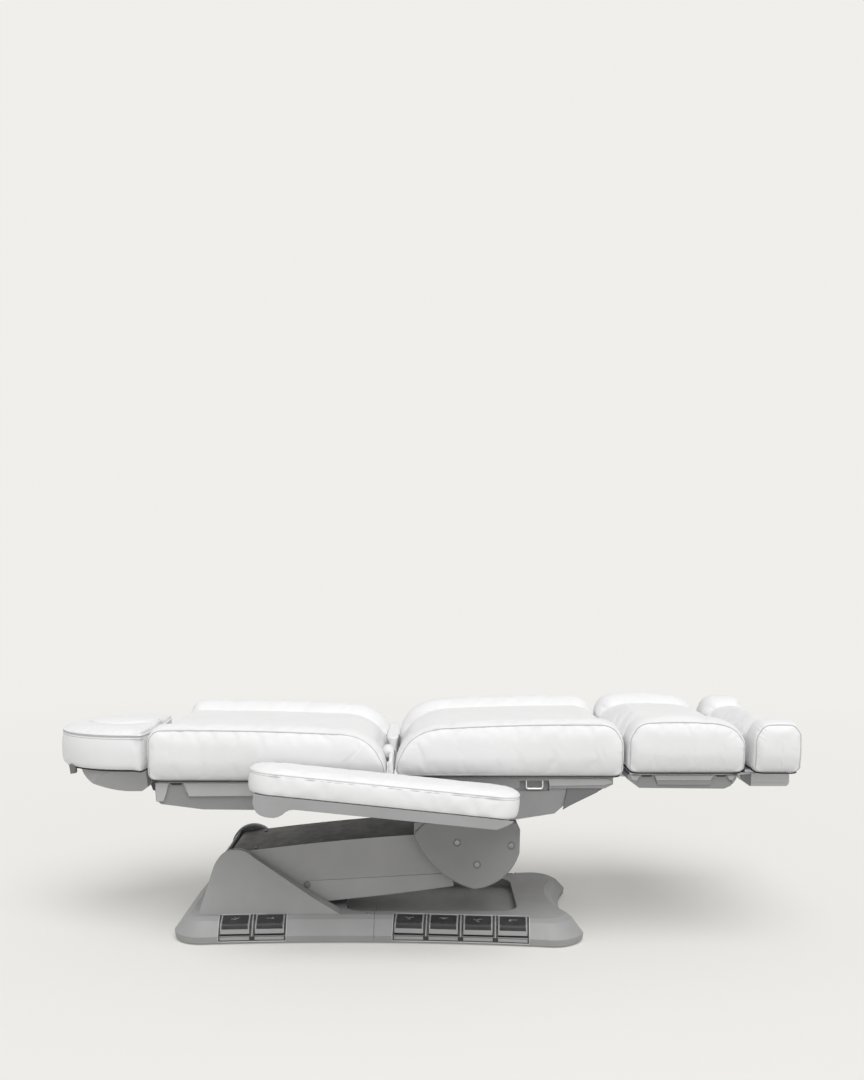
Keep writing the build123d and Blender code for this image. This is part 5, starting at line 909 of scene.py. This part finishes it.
def armrest_pad(label):
    """A slim armrest pad, which lies along its own slope."""
    low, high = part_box(f"armrest_pad_{label}")
    middle_y = (low.y + high.y) / 2
    half = (high.y - low.y) / 2 - WALL_BACK
    turned = abs(sin(ARMREST_SLOPE))
    deep = ARMREST_DEEP + ARMREST_CROWN
    raised = ARMREST_SIDE - ARMREST_DEEP
    stretch = ARMREST_SIDE / ARMREST_DEEP
    length = (high.x - low.x - deep * turned) / cos(ARMREST_SLOPE)
    along = np.array([cos(ARMREST_SLOPE), 0, sin(ARMREST_SLOPE)])
    up = np.array([-sin(ARMREST_SLOPE), 0, cos(ARMREST_SLOPE)])
    corner = np.array([low.x, middle_y, high.z - ARMREST_CROWN * cos(ARMREST_SLOPE)]) - up * ARMREST_DEEP

    def place(loop, height):
        return corner + loop[:, :1] * along + loop[:, 1:] * np.array([0, 1, 0]) + height * up

    outline = round_plan(-ARMREST_BEYOND[0], length + ARMREST_BEYOND[1], half, *ARMREST_ENDS, ARMREST_POWER)
    normal = outward(outline)

    def ring(inset, height):
        return place(outline - normal * inset, height)

    (first_in, first_height), (last_in, last_height) = ARMREST_RINGS[0], ARMREST_RINGS[-1]
    under = spine_loops(outline - normal * first_in * MM, BOTTOM_SHARES, half)
    everything = [place(loop, first_height * MM) for loop in under[::-1]]
    for inset, height in ARMREST_RINGS:
        height *= MM
        everything.append(ring(inset * MM, height * stretch if height < ARMREST_DEEP else height + raised))
    shoulder = spine_loops(outline - normal * last_in * MM, ARMREST_TOPS, half - last_in * MM)
    for share, loop in zip(ARMREST_TOPS, shoulder):
        everything.append(place(loop, raised + last_height * MM + ARMREST_DOME * (1 - (1 - share) ** 2)))
    obj = zipped_shell(f"armrest_cushion_{label}", everything)
    seam_row = len(BOTTOM_SHARES) + ARMREST_SEAM
    swell(obj, loop_points(seam_row, seam_row + 1) + loop_points(0, ARMREST_HELD), **ARMREST_FILL)
    subdivide(obj)
    body = f"armrest_{label}"
    wear(obj, "vinyl_white", body)
    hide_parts(f"armrest_pad_{label}")
    for kind, inset, height, radius, look in ARMREST_LINES:
        line = ring(inset * MM, height * MM * stretch)
        wear(tube(f"armrest_{kind}_{label}", line, radius * MM), look, body)


# Headrest
HEAD_SIDE = 84 * MM
HEAD_SHORT = 8 * MM
HEAD_DOME = 8 * MM
HEAD_ROUND = 217 * MM
HEAD_FRONT_ROUND = 14 * MM
HEAD_TIGHT = 0.88
HEAD_TIGHT_RUN = (40 * MM, 10 * MM)
HEAD_POWER = 2.03
HEAD_DIP_FROM, HEAD_DIP = 0.9, 1.5 * MM
HEAD_FLOOR_DROP = 0.3 * MM
HEAD_FILL = {"top_cap": 3 * MM, "pressure": 3.0}
HEAD_GATHERS = (((0.0, 0.08), (0.42, 0.58), (0.92, 1.0)), 0.4 * MM, 12 * MM, 7 * MM, 21)
HEAD_TOPS = (0.15, 0.32, 0.5, 0.68, 0.84, 0.94, 1.0)
# Rings of the headrest's side, as inset and height in millimetres, from its deck and from its seam
HEAD_LOW_RINGS = (
    (30, 0), (25, -7), (11, -8.5), (4, -2), (1.5, 12), (0.2, 32), (0, 46), (0.8, 58), (2.2, 68),
)
HEAD_SEAM_RINGS = ((3.4, -2.5), (5.6, 0), (4.4, 2.5), (7, 5.5), (12, 8.5), (19, 11))


def head_cushion():
    """The headrest's cushion, with the pocket that its face insert stands in."""
    low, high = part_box("head_cushion")
    half = high.y - WALL_BACK
    rear, front, deck = low.x + HEAD_SHORT, high.x - WALL_BACK, low.z
    outline = round_plan(rear, front, half, HEAD_ROUND, HEAD_FRONT_ROUND, HEAD_POWER)
    tight = 1 - HEAD_TIGHT * smooth_step(outline[:, 0], *(front - run for run in HEAD_TIGHT_RUN))
    normal = outward(outline) * tight[:, None]
    insert_low, insert_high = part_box("face_insert")
    centre = (insert_low + insert_high) / 2
    reach_x = (insert_high.x - insert_low.x) / 2 + 1 * MM
    reach_y = (insert_high.y - insert_low.y) / 2 + 1 * MM
    seam = deck + HEAD_SIDE

    def ring(inset, height):
        return level_loop(outline - normal * inset, height)

    loops = [ring(inset * MM, deck + height * MM) for inset, height in HEAD_LOW_RINGS]
    loops += [ring(inset * MM, seam + height * MM) for inset, height in HEAD_SEAM_RINGS]
    under_in, (edge_in, edge_rise) = HEAD_LOW_RINGS[0][0], HEAD_SEAM_RINGS[-1]
    under = spine_loops(outline - normal * under_in * MM, BOTTOM_SHARES, half)
    bottoms = [level_loop(loop, deck) for loop in under[::-1]]
    edge = outline - normal * edge_in * MM
    around = np.arctan2((edge[:, 1] - centre.y) / reach_y, (edge[:, 0] - centre.x) / reach_x)
    oval = np.stack([centre.x + reach_x * np.cos(around), centre.y + reach_y * np.sin(around)], axis=1)
    tops = []
    for share in HEAD_TOPS:
        height = seam + edge_rise * MM + HEAD_DOME * (1 - (1 - share) ** 2)
        if share > HEAD_DIP_FROM:
            height -= HEAD_DIP * (share - HEAD_DIP_FROM) / (1 - HEAD_DIP_FROM)
        tops.append(level_loop(edge + (oval - edge) * share, height))
    floor = insert_low.z - HEAD_FLOOR_DROP
    walls = [level_loop(oval, height * (1 - share) + floor * share) for share in (0.35, 0.8)]
    floors = [level_loop(oval + (np.array(centre.xy) - oval) * share, floor) for share in (0.3, 0.6)]
    everything = bottoms + loops + tops + walls + floors
    obj = zipped_shell("head_pad", everything)
    seam_row = len(bottoms) + 10
    held = loop_points(seam_row, seam_row + 1) + loop_points(0, len(bottoms) + 2)
    held += loop_points(len(bottoms) + len(loops) + 5, len(everything))
    swell(obj, held, **HEAD_FILL)
    subdivide(obj)
    pucker(obj, everything[seam_row], *HEAD_GATHERS)
    wear(obj, "vinyl_white", "head")
    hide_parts("head_cushion")
    piping = tube("head_piping", ring(3.6 * MM, seam + 1.2 * MM), 2.2 * MM)
    wear(piping, "vinyl_white", "head")
    # Dark lines below the piping: painted shade along the seams.
    for number, height in enumerate((seam - 2.6 * MM, seam - 9 * MM)):
        thread = tube(f"head_seam_{number + 1}", ring(2.2 * MM, height), 1.2 * MM)
        wear(thread, "seam_shade_vinyl", "head")
    # Painted shade: a black tube under the headrest's edge.
    board_shade_edge("head", outline - normal * 15 * MM, deck - 7.5 * MM)
    face_insert(insert_low, insert_high)


# Rings of the insert, as inset and height in millimetres, from its foot and from its top
PLUG_LOW_RINGS = ((50, 0), (20, 0), (5, 0), (0.8, 4), (0.2, 14))
PLUG_TOP_RINGS = (
    (0.2, -15), (0.6, -12), (2, -10.6), (1, -9), (2.4, -6), (6, -3.4),
    (12, -1.8), (22, -0.6), (36, 0), (52, 0.4), (62, 0.5),
)


def face_insert(low, high):
    """The oval plug that lifts out of the headrest."""
    centre = (low + high) / 2
    reach_x, reach_y = (high.x - low.x) / 2, (high.y - low.y) / 2
    angle = np.linspace(pi, -pi, LOOP_POINTS, endpoint=False)
    top = high.z + 1 * MM

    def oval(shrink, height):
        x, y = centre.x + (reach_x - shrink) * np.cos(angle), centre.y + (reach_y - shrink) * np.sin(angle)
        return level_loop(np.column_stack([x, y]), height)

    rings = [oval(inset * MM, low.z + height * MM) for inset, height in PLUG_LOW_RINGS]
    rings += [oval(inset * MM, top + height * MM) for inset, height in PLUG_TOP_RINGS]
    obj = zipped_shell("face_plug", rings)
    swell(obj, loop_points(0, 5) + loop_points(7, 8), top_cap=1.5 * MM, pressure=2.0)
    subdivide(obj)
    wear(obj, "vinyl_white", "face_insert")
    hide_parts("face_insert")
    piping = tube("face_plug_piping", oval(0.9 * MM, top - 10.6 * MM), 1.4 * MM)
    wear(piping, "vinyl_white", "face_insert")


# Wedge of coated fabric between the back and seat cushions, clear of the hinge lugs
WEDGE_LOW = 0.438
WEDGE_TOP = 0.484
FOLD_TOP = 0.513
WEDGE_GAP = 2 * MM
WEDGE_FRONT_GAP = 2 * MM
WEDGE_NARROW = 3 * MM
SLEEVE_AT = (-0.066, 0.4803)
SLEEVE_RADIUS = 14.4 * MM
SLEEVE_SPAN = (0.134, 0.171)
FOLD_FLARE = ((-1, -32), (0, -20), (3, -11), (6.5, -4), (7.5, -1.5), (6, 0))
CAP_POINTS = 13
WEDGE_POINTS = 48
WEDGE_ROWS = 36
WEDGE_ENDS = (0.35, 5 * MM)
WEDGE_WAVES = ((0.5 * MM, 95, 0), (0.3 * MM, 41, 1))
WEDGE_SPANS = ((-0.284, -0.166), (-0.132, 0.132), (0.166, 0.284))


def wedge():
    """The padded fold in the gap."""
    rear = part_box("back_cushion")[1].x + WEDGE_GAP
    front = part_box("seat_cushion")[0].x - WEDGE_FRONT_GAP
    middle = (rear + front) / 2
    half = (front - rear) / 2
    turn = np.linspace(0, pi, CAP_POINTS)
    top_half = half - WEDGE_NARROW
    cap = np.stack([top_half * np.cos(turn), WEDGE_TOP - top_half * (1 - np.sin(turn))], axis=1)
    flare = np.array(FOLD_FLARE) * MM
    right = np.stack([half + flare[:, 0], FOLD_TOP + flare[:, 1]], axis=1)
    fold = np.concatenate([right, [(0, FOLD_TOP - 1.5 * MM)], (right * np.array([-1, 1]))[::-1]])
    points, faces = [], []
    slimmer, end_reach = WEDGE_ENDS
    for (start, end), top in zip(WEDGE_SPANS, (cap, fold, cap)):
        section = np.concatenate([top, [(-half, WEDGE_LOW), (half, WEDGE_LOW)]])
        section = resample(np.concatenate([section, section[:1]]), WEDGE_POINTS)
        rows = np.linspace(start, end, WEDGE_ROWS)
        faces += loft_faces(WEDGE_ROWS, WEDGE_POINTS, len(points))
        for y in rows:
            close = min(y - start, end - y)
            slim = 1 - slimmer * (1 - min(1, close / end_reach)) ** 2
            wave = sum(size * sin(y * rate + shift) for size, rate, shift in WEDGE_WAVES)
            points += [(middle + x * slim + wave, y, z) for x, z in section]
    obj = turn_out(make_object("hinge_wedge", points, faces))
    obj.data.materials.append(looks["vinyl_white"])
    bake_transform(obj)
    for label, side in SIDES:
        line = [(SLEEVE_AT[0], side * y, SLEEVE_AT[1]) for y in np.linspace(*SLEEVE_SPAN, 4)]
        sleeve = tube(f"hinge_sleeve_{label}", line, SLEEVE_RADIUS, closed=False, sides=32)
        wear(sleeve, "vinyl_white", "seat")


# Pedals: a black face with a raised sign on each rocker
SIGN_STROKES = (
    (((-9, 0), (-3, 0), (1, -3)), ((-1, 4), (3, 0), (7, 4))),
    (((-8, 1), (8, 1)), ((4, 4), (8, 1), (4, -2))),
    (((-9, 4), (-2, 0), (9, 4)), ((-3, -3), (3, -3))),
    (((-9, 3), (9, 3)), ((-3, -1), (0, 3), (3, -1))),
    (((-9, 1), (-3, -2), (3, 2), (9, 2)), ((-3, -5), (3, -5))),
    (((9, 2), (-4, 2), (-8, -2)), ((-5, 4), (-8, -2), (-2, -2))),
)
FACE_LEVELS = ((0.0, -0.8 * MM), (0.0, 0.5 * MM), (0.4 * MM, 0.9 * MM), (1.2 * MM, 1.1 * MM))
FACE_CORNER = 2.5 * MM
SIGN_SCALE = 1.25 * MM
SIGN_HEIGHT = 1.1 * MM
PAD_LEAST = 500 * MM**2
PAD_FACING = 0.8
PAD_STEP = 0.2 * MM


def pad_faces(node):
    """The corners of a rocker's sloping top, and its normal."""
    obj = frame["nodes"][node]
    places = read_vectors(obj.data)
    groups = {}
    for polygon in obj.data.polygons:
        n = polygon.normal
        if n.z < PAD_FACING:
            continue
        level = round(n.dot(polygon.center) / PAD_STEP)
        groups.setdefault(level, []).append(polygon)
    top = max(level for level, group in groups.items() if sum(p.area for p in group) > PAD_LEAST)
    chosen = groups[top]
    index = sorted({v for p in chosen for v in p.vertices})
    normal = np.array(chosen[0].normal)
    return places[index], normal / np.linalg.norm(normal)


PEDAL_HALF = 37 * MM
PEDAL_PITCH = 88 * MM
PAD_DEPTH = 25.8 * MM
ROLL_PATH = ((6.9, 38), (6.9, 45.6), (9.5, 49.2))
SKIRT_PATH = ((6.9, 25.5), (6.9, 37.2))
SHADE_PATH = ((2.2, 9.5), (0.05, 20.7))
STRIP_PATH = ((1.7, 12), (0.2, 20))
GAP_ENDS = ((-5.2, -1.8), (1.8, 5.2))
BASE_SLOPE = ((2.7, 7), (0, 21), (27, 54), (40, 62), (48, 62))
WELL_RIM = 1.2 * MM
WELL_INSET = 2 * MM
SLAB_BACK = 0.4 * MM
BOWED_STATIONS = 11
RIM_STATIONS = 13
BASE_BOW = 1 / (2 * 4.03)


def row_frame(centre, normal):
    """The directions along a pedal row and out of it."""
    out = np.array([normal[0], normal[1], 0.0])
    out /= np.linalg.norm(out)
    return np.array([out[1], -out[0], 0.0]), out


def row_place(centre, along, out, a, depth, height, bow=0.0):
    """A place by its distance along the row, its depth in from the lip and its height."""
    place = centre + along * a + out * (PAD_DEPTH - depth + bow * a * a)
    return (place[0], place[1], height)


def slab(name, frame_of_row, path, span, thick, bow=0.0):
    """A strip that follows a path of (depth, height) between two distances along a row."""
    centre, along, out = frame_of_row
    path = np.array(path) * MM
    way = np.gradient(path, axis=0)
    normal = np.stack([-way[:, 1], way[:, 0]], axis=1)
    normal /= np.linalg.norm(normal, axis=1)[:, None]
    section = np.concatenate([path + normal * thick, (path - normal * SLAB_BACK)[::-1]])
    stations = np.linspace(*span, BOWED_STATIONS if bow else 2)
    points = [row_place(centre, along, out, a, d, z, bow) for a in stations for d, z in section]
    faces = loft_faces(len(stations), len(section))
    return turn_out(make_object(name, points, faces, smooth=False))


def pedal_front(body, centre, normal, pad_half):
    """The black pad's front roll and the light skirt below it."""
    row = (centre, *row_frame(centre, normal))
    roll = slab(f"{body}_roll", row, ROLL_PATH, (-pad_half, pad_half), 1.2 * MM)
    wear(roll, "pedal_rubber", body)
    skirt = slab(f"{body}_skirt", row, SKIRT_PATH, (-PEDAL_HALF, PEDAL_HALF), 1.0 * MM)
    wear(skirt, "pedal_plastic", body)


def pedal_wells():
    """The rim, lightened as a painted highlight, a dark strip of painted shade, the dark gaps and the lower
    strip round each row of pedals.
    """
    for row, count in (("rear", 2), ("front", 4)):
        for side in ("right", "left"):
            pads = []
            for number in range(count):
                corners, normal = pad_faces(f"pedal_{row}_{side}_{number + 1}")
                pads.append((corners.min(axis=0) + corners.max(axis=0)) / 2)
            centre = np.mean(pads, axis=0)
            along, out = row_frame(centre, normal)
            placed = (centre, along, out)
            half = count * PEDAL_PITCH / 2 - WELL_INSET
            stations = np.linspace(-half, half, RIM_STATIONS)
            (low_d, low_z), (top_d, top_z) = BASE_SLOPE[0], BASE_SLOPE[-1]
            rim = [row_place(*placed, -half, d * MM, z * MM, BASE_BOW) for d, z in BASE_SLOPE[:-1]]
            rim += [row_place(*placed, a, top_d * MM, top_z * MM) for a in stations]
            rim += [row_place(*placed, half, d * MM, z * MM, BASE_BOW) for d, z in BASE_SLOPE[-2::-1]]
            rim += [row_place(*placed, a, low_d * MM, low_z * MM, BASE_BOW) for a in stations[-2:0:-1]]
            # Painted highlight: a light tube round the well's edge.
            wear(tube(f"well_highlight_rim_{row}_{side}", rim, WELL_RIM), "rim_highlight_plastic", "base")
            inner = (WELL_INSET - half, half - WELL_INSET)
            # Painted shade: a dark strip inside the well.
            dark = slab(f"well_shade_{row}_{side}", placed, SHADE_PATH, inner, 0.5 * MM, BASE_BOW)
            wear(dark, "pedal_rubber", "base")
            for number in range(count):
                middle = (number - (count - 1) / 2) * PEDAL_PITCH
                label = f"{row}_{side}_{number + 1}"
                span = (middle - PEDAL_HALF, middle + PEDAL_HALF)
                strip = slab(f"well_strip_{label}", placed, STRIP_PATH, span, 1.4 * MM, BASE_BOW)
                wear(strip, "pedal_plastic", "base")
                for end, (start, stop) in enumerate(GAP_ENDS):
                    edge = span[0] if end == 0 else span[1]
                    gap = (edge + start * MM, edge + stop * MM)
                    slit = slab(f"well_gap_{label}_{end}", placed, BASE_SLOPE[1:], gap, 0.6 * MM, BASE_BOW)
                    wear(slit, "pedal_rubber", "base")


def pedal_signs():
    """The black face and the raised sign on each rocker's pad."""
    for body in sorted(frame["bodies"]):
        if not body.startswith("pedal_"):
            continue
        corners, normal = pad_faces(body)
        centre = (corners.min(axis=0) + corners.max(axis=0)) / 2
        reach = corners - centre
        order = np.argsort(corners[:, 0])
        left, right = corners[order[:2]], corners[order[-2:]]
        along = right.mean(axis=0) - left.mean(axis=0)
        along /= np.linalg.norm(along)
        up = np.cross(normal, along)
        half_x = np.abs(reach @ along).max()
        half_y = np.abs(reach @ up).max()
        edge = rounded_rectangle(half_x, half_y, FACE_CORNER)
        pedal_front(body, centre, normal, half_x)
        points = []
        for inset, height in FACE_LEVELS:
            scale = np.array([(half_x - inset) / half_x, (half_y - inset) / half_y])
            for x, y in edge * scale:
                points.append(centre + along * x + up * y + normal * height)
        faces = loft_faces(len(FACE_LEVELS), len(edge))
        face = make_object(f"{body}_face", points, faces, smooth=False)
        wear(face, "pedal_rubber", body)
        number = int(body.rsplit("_", 1)[1]) - 1
        strokes = SIGN_STROKES[number if "rear" in body else number + 2]
        facing = 1 if up[1] > 0 else -1
        for k, stroke in enumerate(strokes):
            line = []
            for (ax, ay), (bx, by) in zip(stroke, stroke[1:]):
                for t in np.linspace(0, 1, 4, endpoint=False):
                    line.append((ax + (bx - ax) * t, ay + (by - ay) * t))
            line.append(stroke[-1])
            path = [
                centre + (along * x + up * (y + 1)) * SIGN_SCALE * facing + normal * SIGN_HEIGHT
                for x, y in line
            ]
            sign = tube(f"{body}_sign_{k + 1}", path, 0.75 * MM, closed=False, sides=8, flat=0.5)
            wear(sign, "icon_paint", body)


# Plates on the sides: lighter bands of painted light, dark fields of painted shade and dark slots; outlines
# in millimetres as x and z, the same on both sides
SIDE_PLATES = (
    # Bands: lighter plates, painted light where the shells' upper sides catch it.
    ("back_band_1", "band_lit_plastic", ((-642, 419), (-609, 419), (-615, 394), (-622, 374), (-640, 373))),
    ("back_band_2", "band_lit_plastic", ((-572, 419), (-115, 419), (-115, 389), (-559, 386))),
    ("back_slot", "pedal_rubber", ((-607, 419), (-575, 419), (-579, 413.5), (-602, 413.5))),
    ("seat_band", "band_lit_plastic", ((337, 429), (484, 429), (494, 425), (496, 419), (474, 414), (340, 412))),
    # The seat field and the foot shade: dark plates of painted shade on set-back and turned-away parts of
    # the shells.
    ("seat_field", "shade_and_catch_plastic",
     ((385, 409), (474, 411), (459, 395.5), (425, 379), (391, 362.5), (373, 352))),
    ("leg_band_1", "band_lit_plastic", ((540, 438), (565, 438), (557, 425), (546, 427))),
    ("leg_band_2", "band_lit_plastic", ((601, 438), (749, 438), (740, 426), (606, 426))),
    ("leg_band_3", "band_lit_plastic", ((782, 438), (801, 438), (796, 427), (787, 427))),
    ("leg_slot_1", "pedal_rubber", ((569, 438), (596, 438), (594, 434.5), (571, 434.5))),
    ("leg_slot_2", "pedal_rubber", ((755, 438), (780, 438), (777, 434.5), (757, 434.5))),
    ("foot_shade", "shade_and_catch_plastic", ((822, 434), (850, 437), (849, 407), (845, 407), (824, 424))),
)
PLATE_THICK = 1.4 * MM


def side_depth(node, outline):
    """How far out a node's right side lies under an outline."""
    shape = frame["nodes"][node]
    turned = shape.matrix_world.inverted()
    middle = outline.mean(axis=0)
    found = []
    for share in (0.0, 0.4, 0.8):
        for x, z in middle + (outline - middle) * share:
            start = turned @ Vector((x, -1, z))
            way = (turned @ Vector((x, 0, z)) - start).normalized()
            hit, place, _, _ = shape.ray_cast(start, way)
            if hit:
                found.append((shape.matrix_world @ place).y)
    return min(found) if found else None


def prism(name, outline, y, thick):
    """A plate with its outline in x and z, from y inward."""
    points = [(x, y, z) for x, z in outline] + [(x, y + thick, z) for x, z in outline]
    faces = loft_faces(2, len(outline))
    return turn_out(make_object(name, points, faces, smooth=False))


def side_plates():
    """The bands, lighter as painted light, the slots, and the fields, dark as painted shade, on both sides
    of the shells.
    """
    for name, look, outline in SIDE_PLATES:
        body = name.split("_")[0]
        outline = np.array(outline) * MM
        depth = side_depth(f"{body}_shell", outline)
        if depth is None:
            print("no side under", name)
            continue
        for label, side in SIDES:
            plate = prism(f"{name}_{label}", outline, -side * (depth - PLATE_THICK), -side * 2 * PLATE_THICK)
            wear(plate, look, body)


TRAY_PIVOT = (-0.334, 0.4023)
TRAY_SKIN = (
    (-42, 15), (-42.5, 2), (-41, -8), (-37, -18), (-31, -25.5), (-22, -31), (-11, -34), (0, -34.6),
    (11, -34), (21, -31), (30, -25), (38, -17), (46, -12.4), (56, -10),
    (536, -9.6), (556, 1), (570, 10), (574, 15),
)


def tray_skins():
    """The smooth outer wall of each armrest's tray, with its round belly."""
    turn = ARMREST_SLOPE
    outline = []
    for s, h in TRAY_SKIN:
        x, z = s * MM * cos(turn) - h * MM * sin(turn), s * MM * sin(turn) + h * MM * cos(turn)
        outline.append((TRAY_PIVOT[0] + x, TRAY_PIVOT[1] + z))
    for label, side in SIDES:
        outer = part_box(f"armrest_shell_{label}")[0 if side < 0 else 1].y
        skin = prism(f"tray_skin_{label}", outline, outer + side * 1.6 * MM, -side * 2 * MM)
        wear(skin, "tray_plastic", f"armrest_{label}")


# Small parts: their outlines as x and z, and the two screws on the arm's top
CORNER_PIECE = ((0.0005, 0.2955), (0.027, 0.2955), (0.0005, 0.2705))
HEAD_CATCH = ((-0.91, 0.436), (-0.893, 0.436), (-0.893, 0.414), (-0.906, 0.412))
HEAD_LINK = ((-0.689, 0.3905), (-0.655, 0.3905), (-0.655, 0.373), (-0.682, 0.373))
ARM_SCREWS = ((-0.4199, 0.0878, 0.2129), (-0.4188, -0.0985, 0.213))
ARM_UP = (-0.13, 0, 0.991)
SCREW_PARTS = (("screw", -1, 1, 5, "pedal_rubber"), ("head", 0, 2, 3, "screw_steel"))


def small_parts():
    """Corner pieces of the bracket covers, the arm's top screws, and the headrest's catch and link."""
    for label, side in SIDES:
        piece = prism(f"bracket_corner_{label}", CORNER_PIECE, side * 0.163, -side * 4 * MM)
        wear(piece, "bracket_plastic", "carriage")
    up = np.array(ARM_UP)
    for number, place in enumerate(np.array(ARM_SCREWS)):
        for part, low, high, radius, look in SCREW_PARTS:
            line = [place + up * low * MM, place + up * high * MM]
            disc = tube(f"arm_top_{part}_{number + 1}", line, radius * MM, closed=False, sides=20)
            wear(disc, look, "lift_arm")
    wear(prism("head_catch", HEAD_CATCH, -0.112, 14 * MM), "shade_and_catch_plastic", "head")
    wear(prism("head_link", HEAD_LINK, -0.135, 0.27), "pedal_rubber", "back")


# Stage, light and camera
def hold(data, place, turn):
    """An object of the same name that holds a light or a camera."""
    holder = bpy.data.objects.new(data.name, data)
    holder.location = place
    holder.rotation_euler = turn
    bpy.context.scene.collection.objects.link(holder)
    return holder


def stage():
    """The floor, the sky, the broad light from above and the fill from the camera's side."""
    corners = [(x * FLOOR_REACH, y * FLOOR_REACH, 0) for x, y in ((-1, -1), (1, -1), (1, 1), (-1, 1))]
    floor = make_object("floor", corners, [(0, 1, 2, 3)])
    floor.data.materials.append(paper_material())

    world = bpy.data.worlds.new("studio")
    bpy.context.scene.world = world
    world.use_nodes = True
    tree = world.node_tree
    light = tree.nodes["Background"]
    feed(tree, light, Color=(1, 1, 1, 1), Strength=SKY_LEVEL)
    seen = add_node(tree, "Background", Color=(*PAPER, 1), Strength=1.0)
    blend_into(tree, "World Output", seen_rays(tree), light.outputs[0], seen.outputs[0])

    sun = bpy.data.lights.new("ceiling", "SUN")
    sun.energy = SUN_LEVEL
    sun.angle = radians(SUN_SPREAD)
    hold(sun, (0, 0, 0), (radians(SUN_TURN[0]), radians(SUN_TURN[1]), 0))

    fill = bpy.data.lights.new("fill", "AREA")
    fill.energy = FILL_POWER
    fill.size = FILL_SIZE
    aim = Vector(FILL_AIM) - Vector(FILL_PLACE)
    hold(fill, FILL_PLACE, aim.to_track_quat("-Z", "Y").to_euler())


def camera():
    """The camera that was fitted to the photograph."""
    lens = bpy.data.cameras.new("camera")
    lens.sensor_width = SENSOR_MM
    lens.lens = FOCAL_PIXELS / PHOTO_HEIGHT * SENSOR_MM
    lens.shift_x = (PHOTO_WIDTH / 2 - PRINCIPAL_U) / PHOTO_HEIGHT
    lens.shift_y = (PRINCIPAL_V - PHOTO_HEIGHT / 2) / PHOTO_HEIGHT
    lens.clip_start, lens.clip_end = CAMERA_REACH
    bpy.context.scene.camera = hold(lens, CAMERA_PLACE, (radians(90), 0, 0))


dress_nodes()
build_box_cushions()
head_cushion()
armrest_pad("right")
armrest_pad("left")
wedge()
pedal_signs()
pedal_wells()
side_plates()
tray_skins()
small_parts()
stage()
camera()
bpy.context.scene.view_settings.view_transform = "Standard"
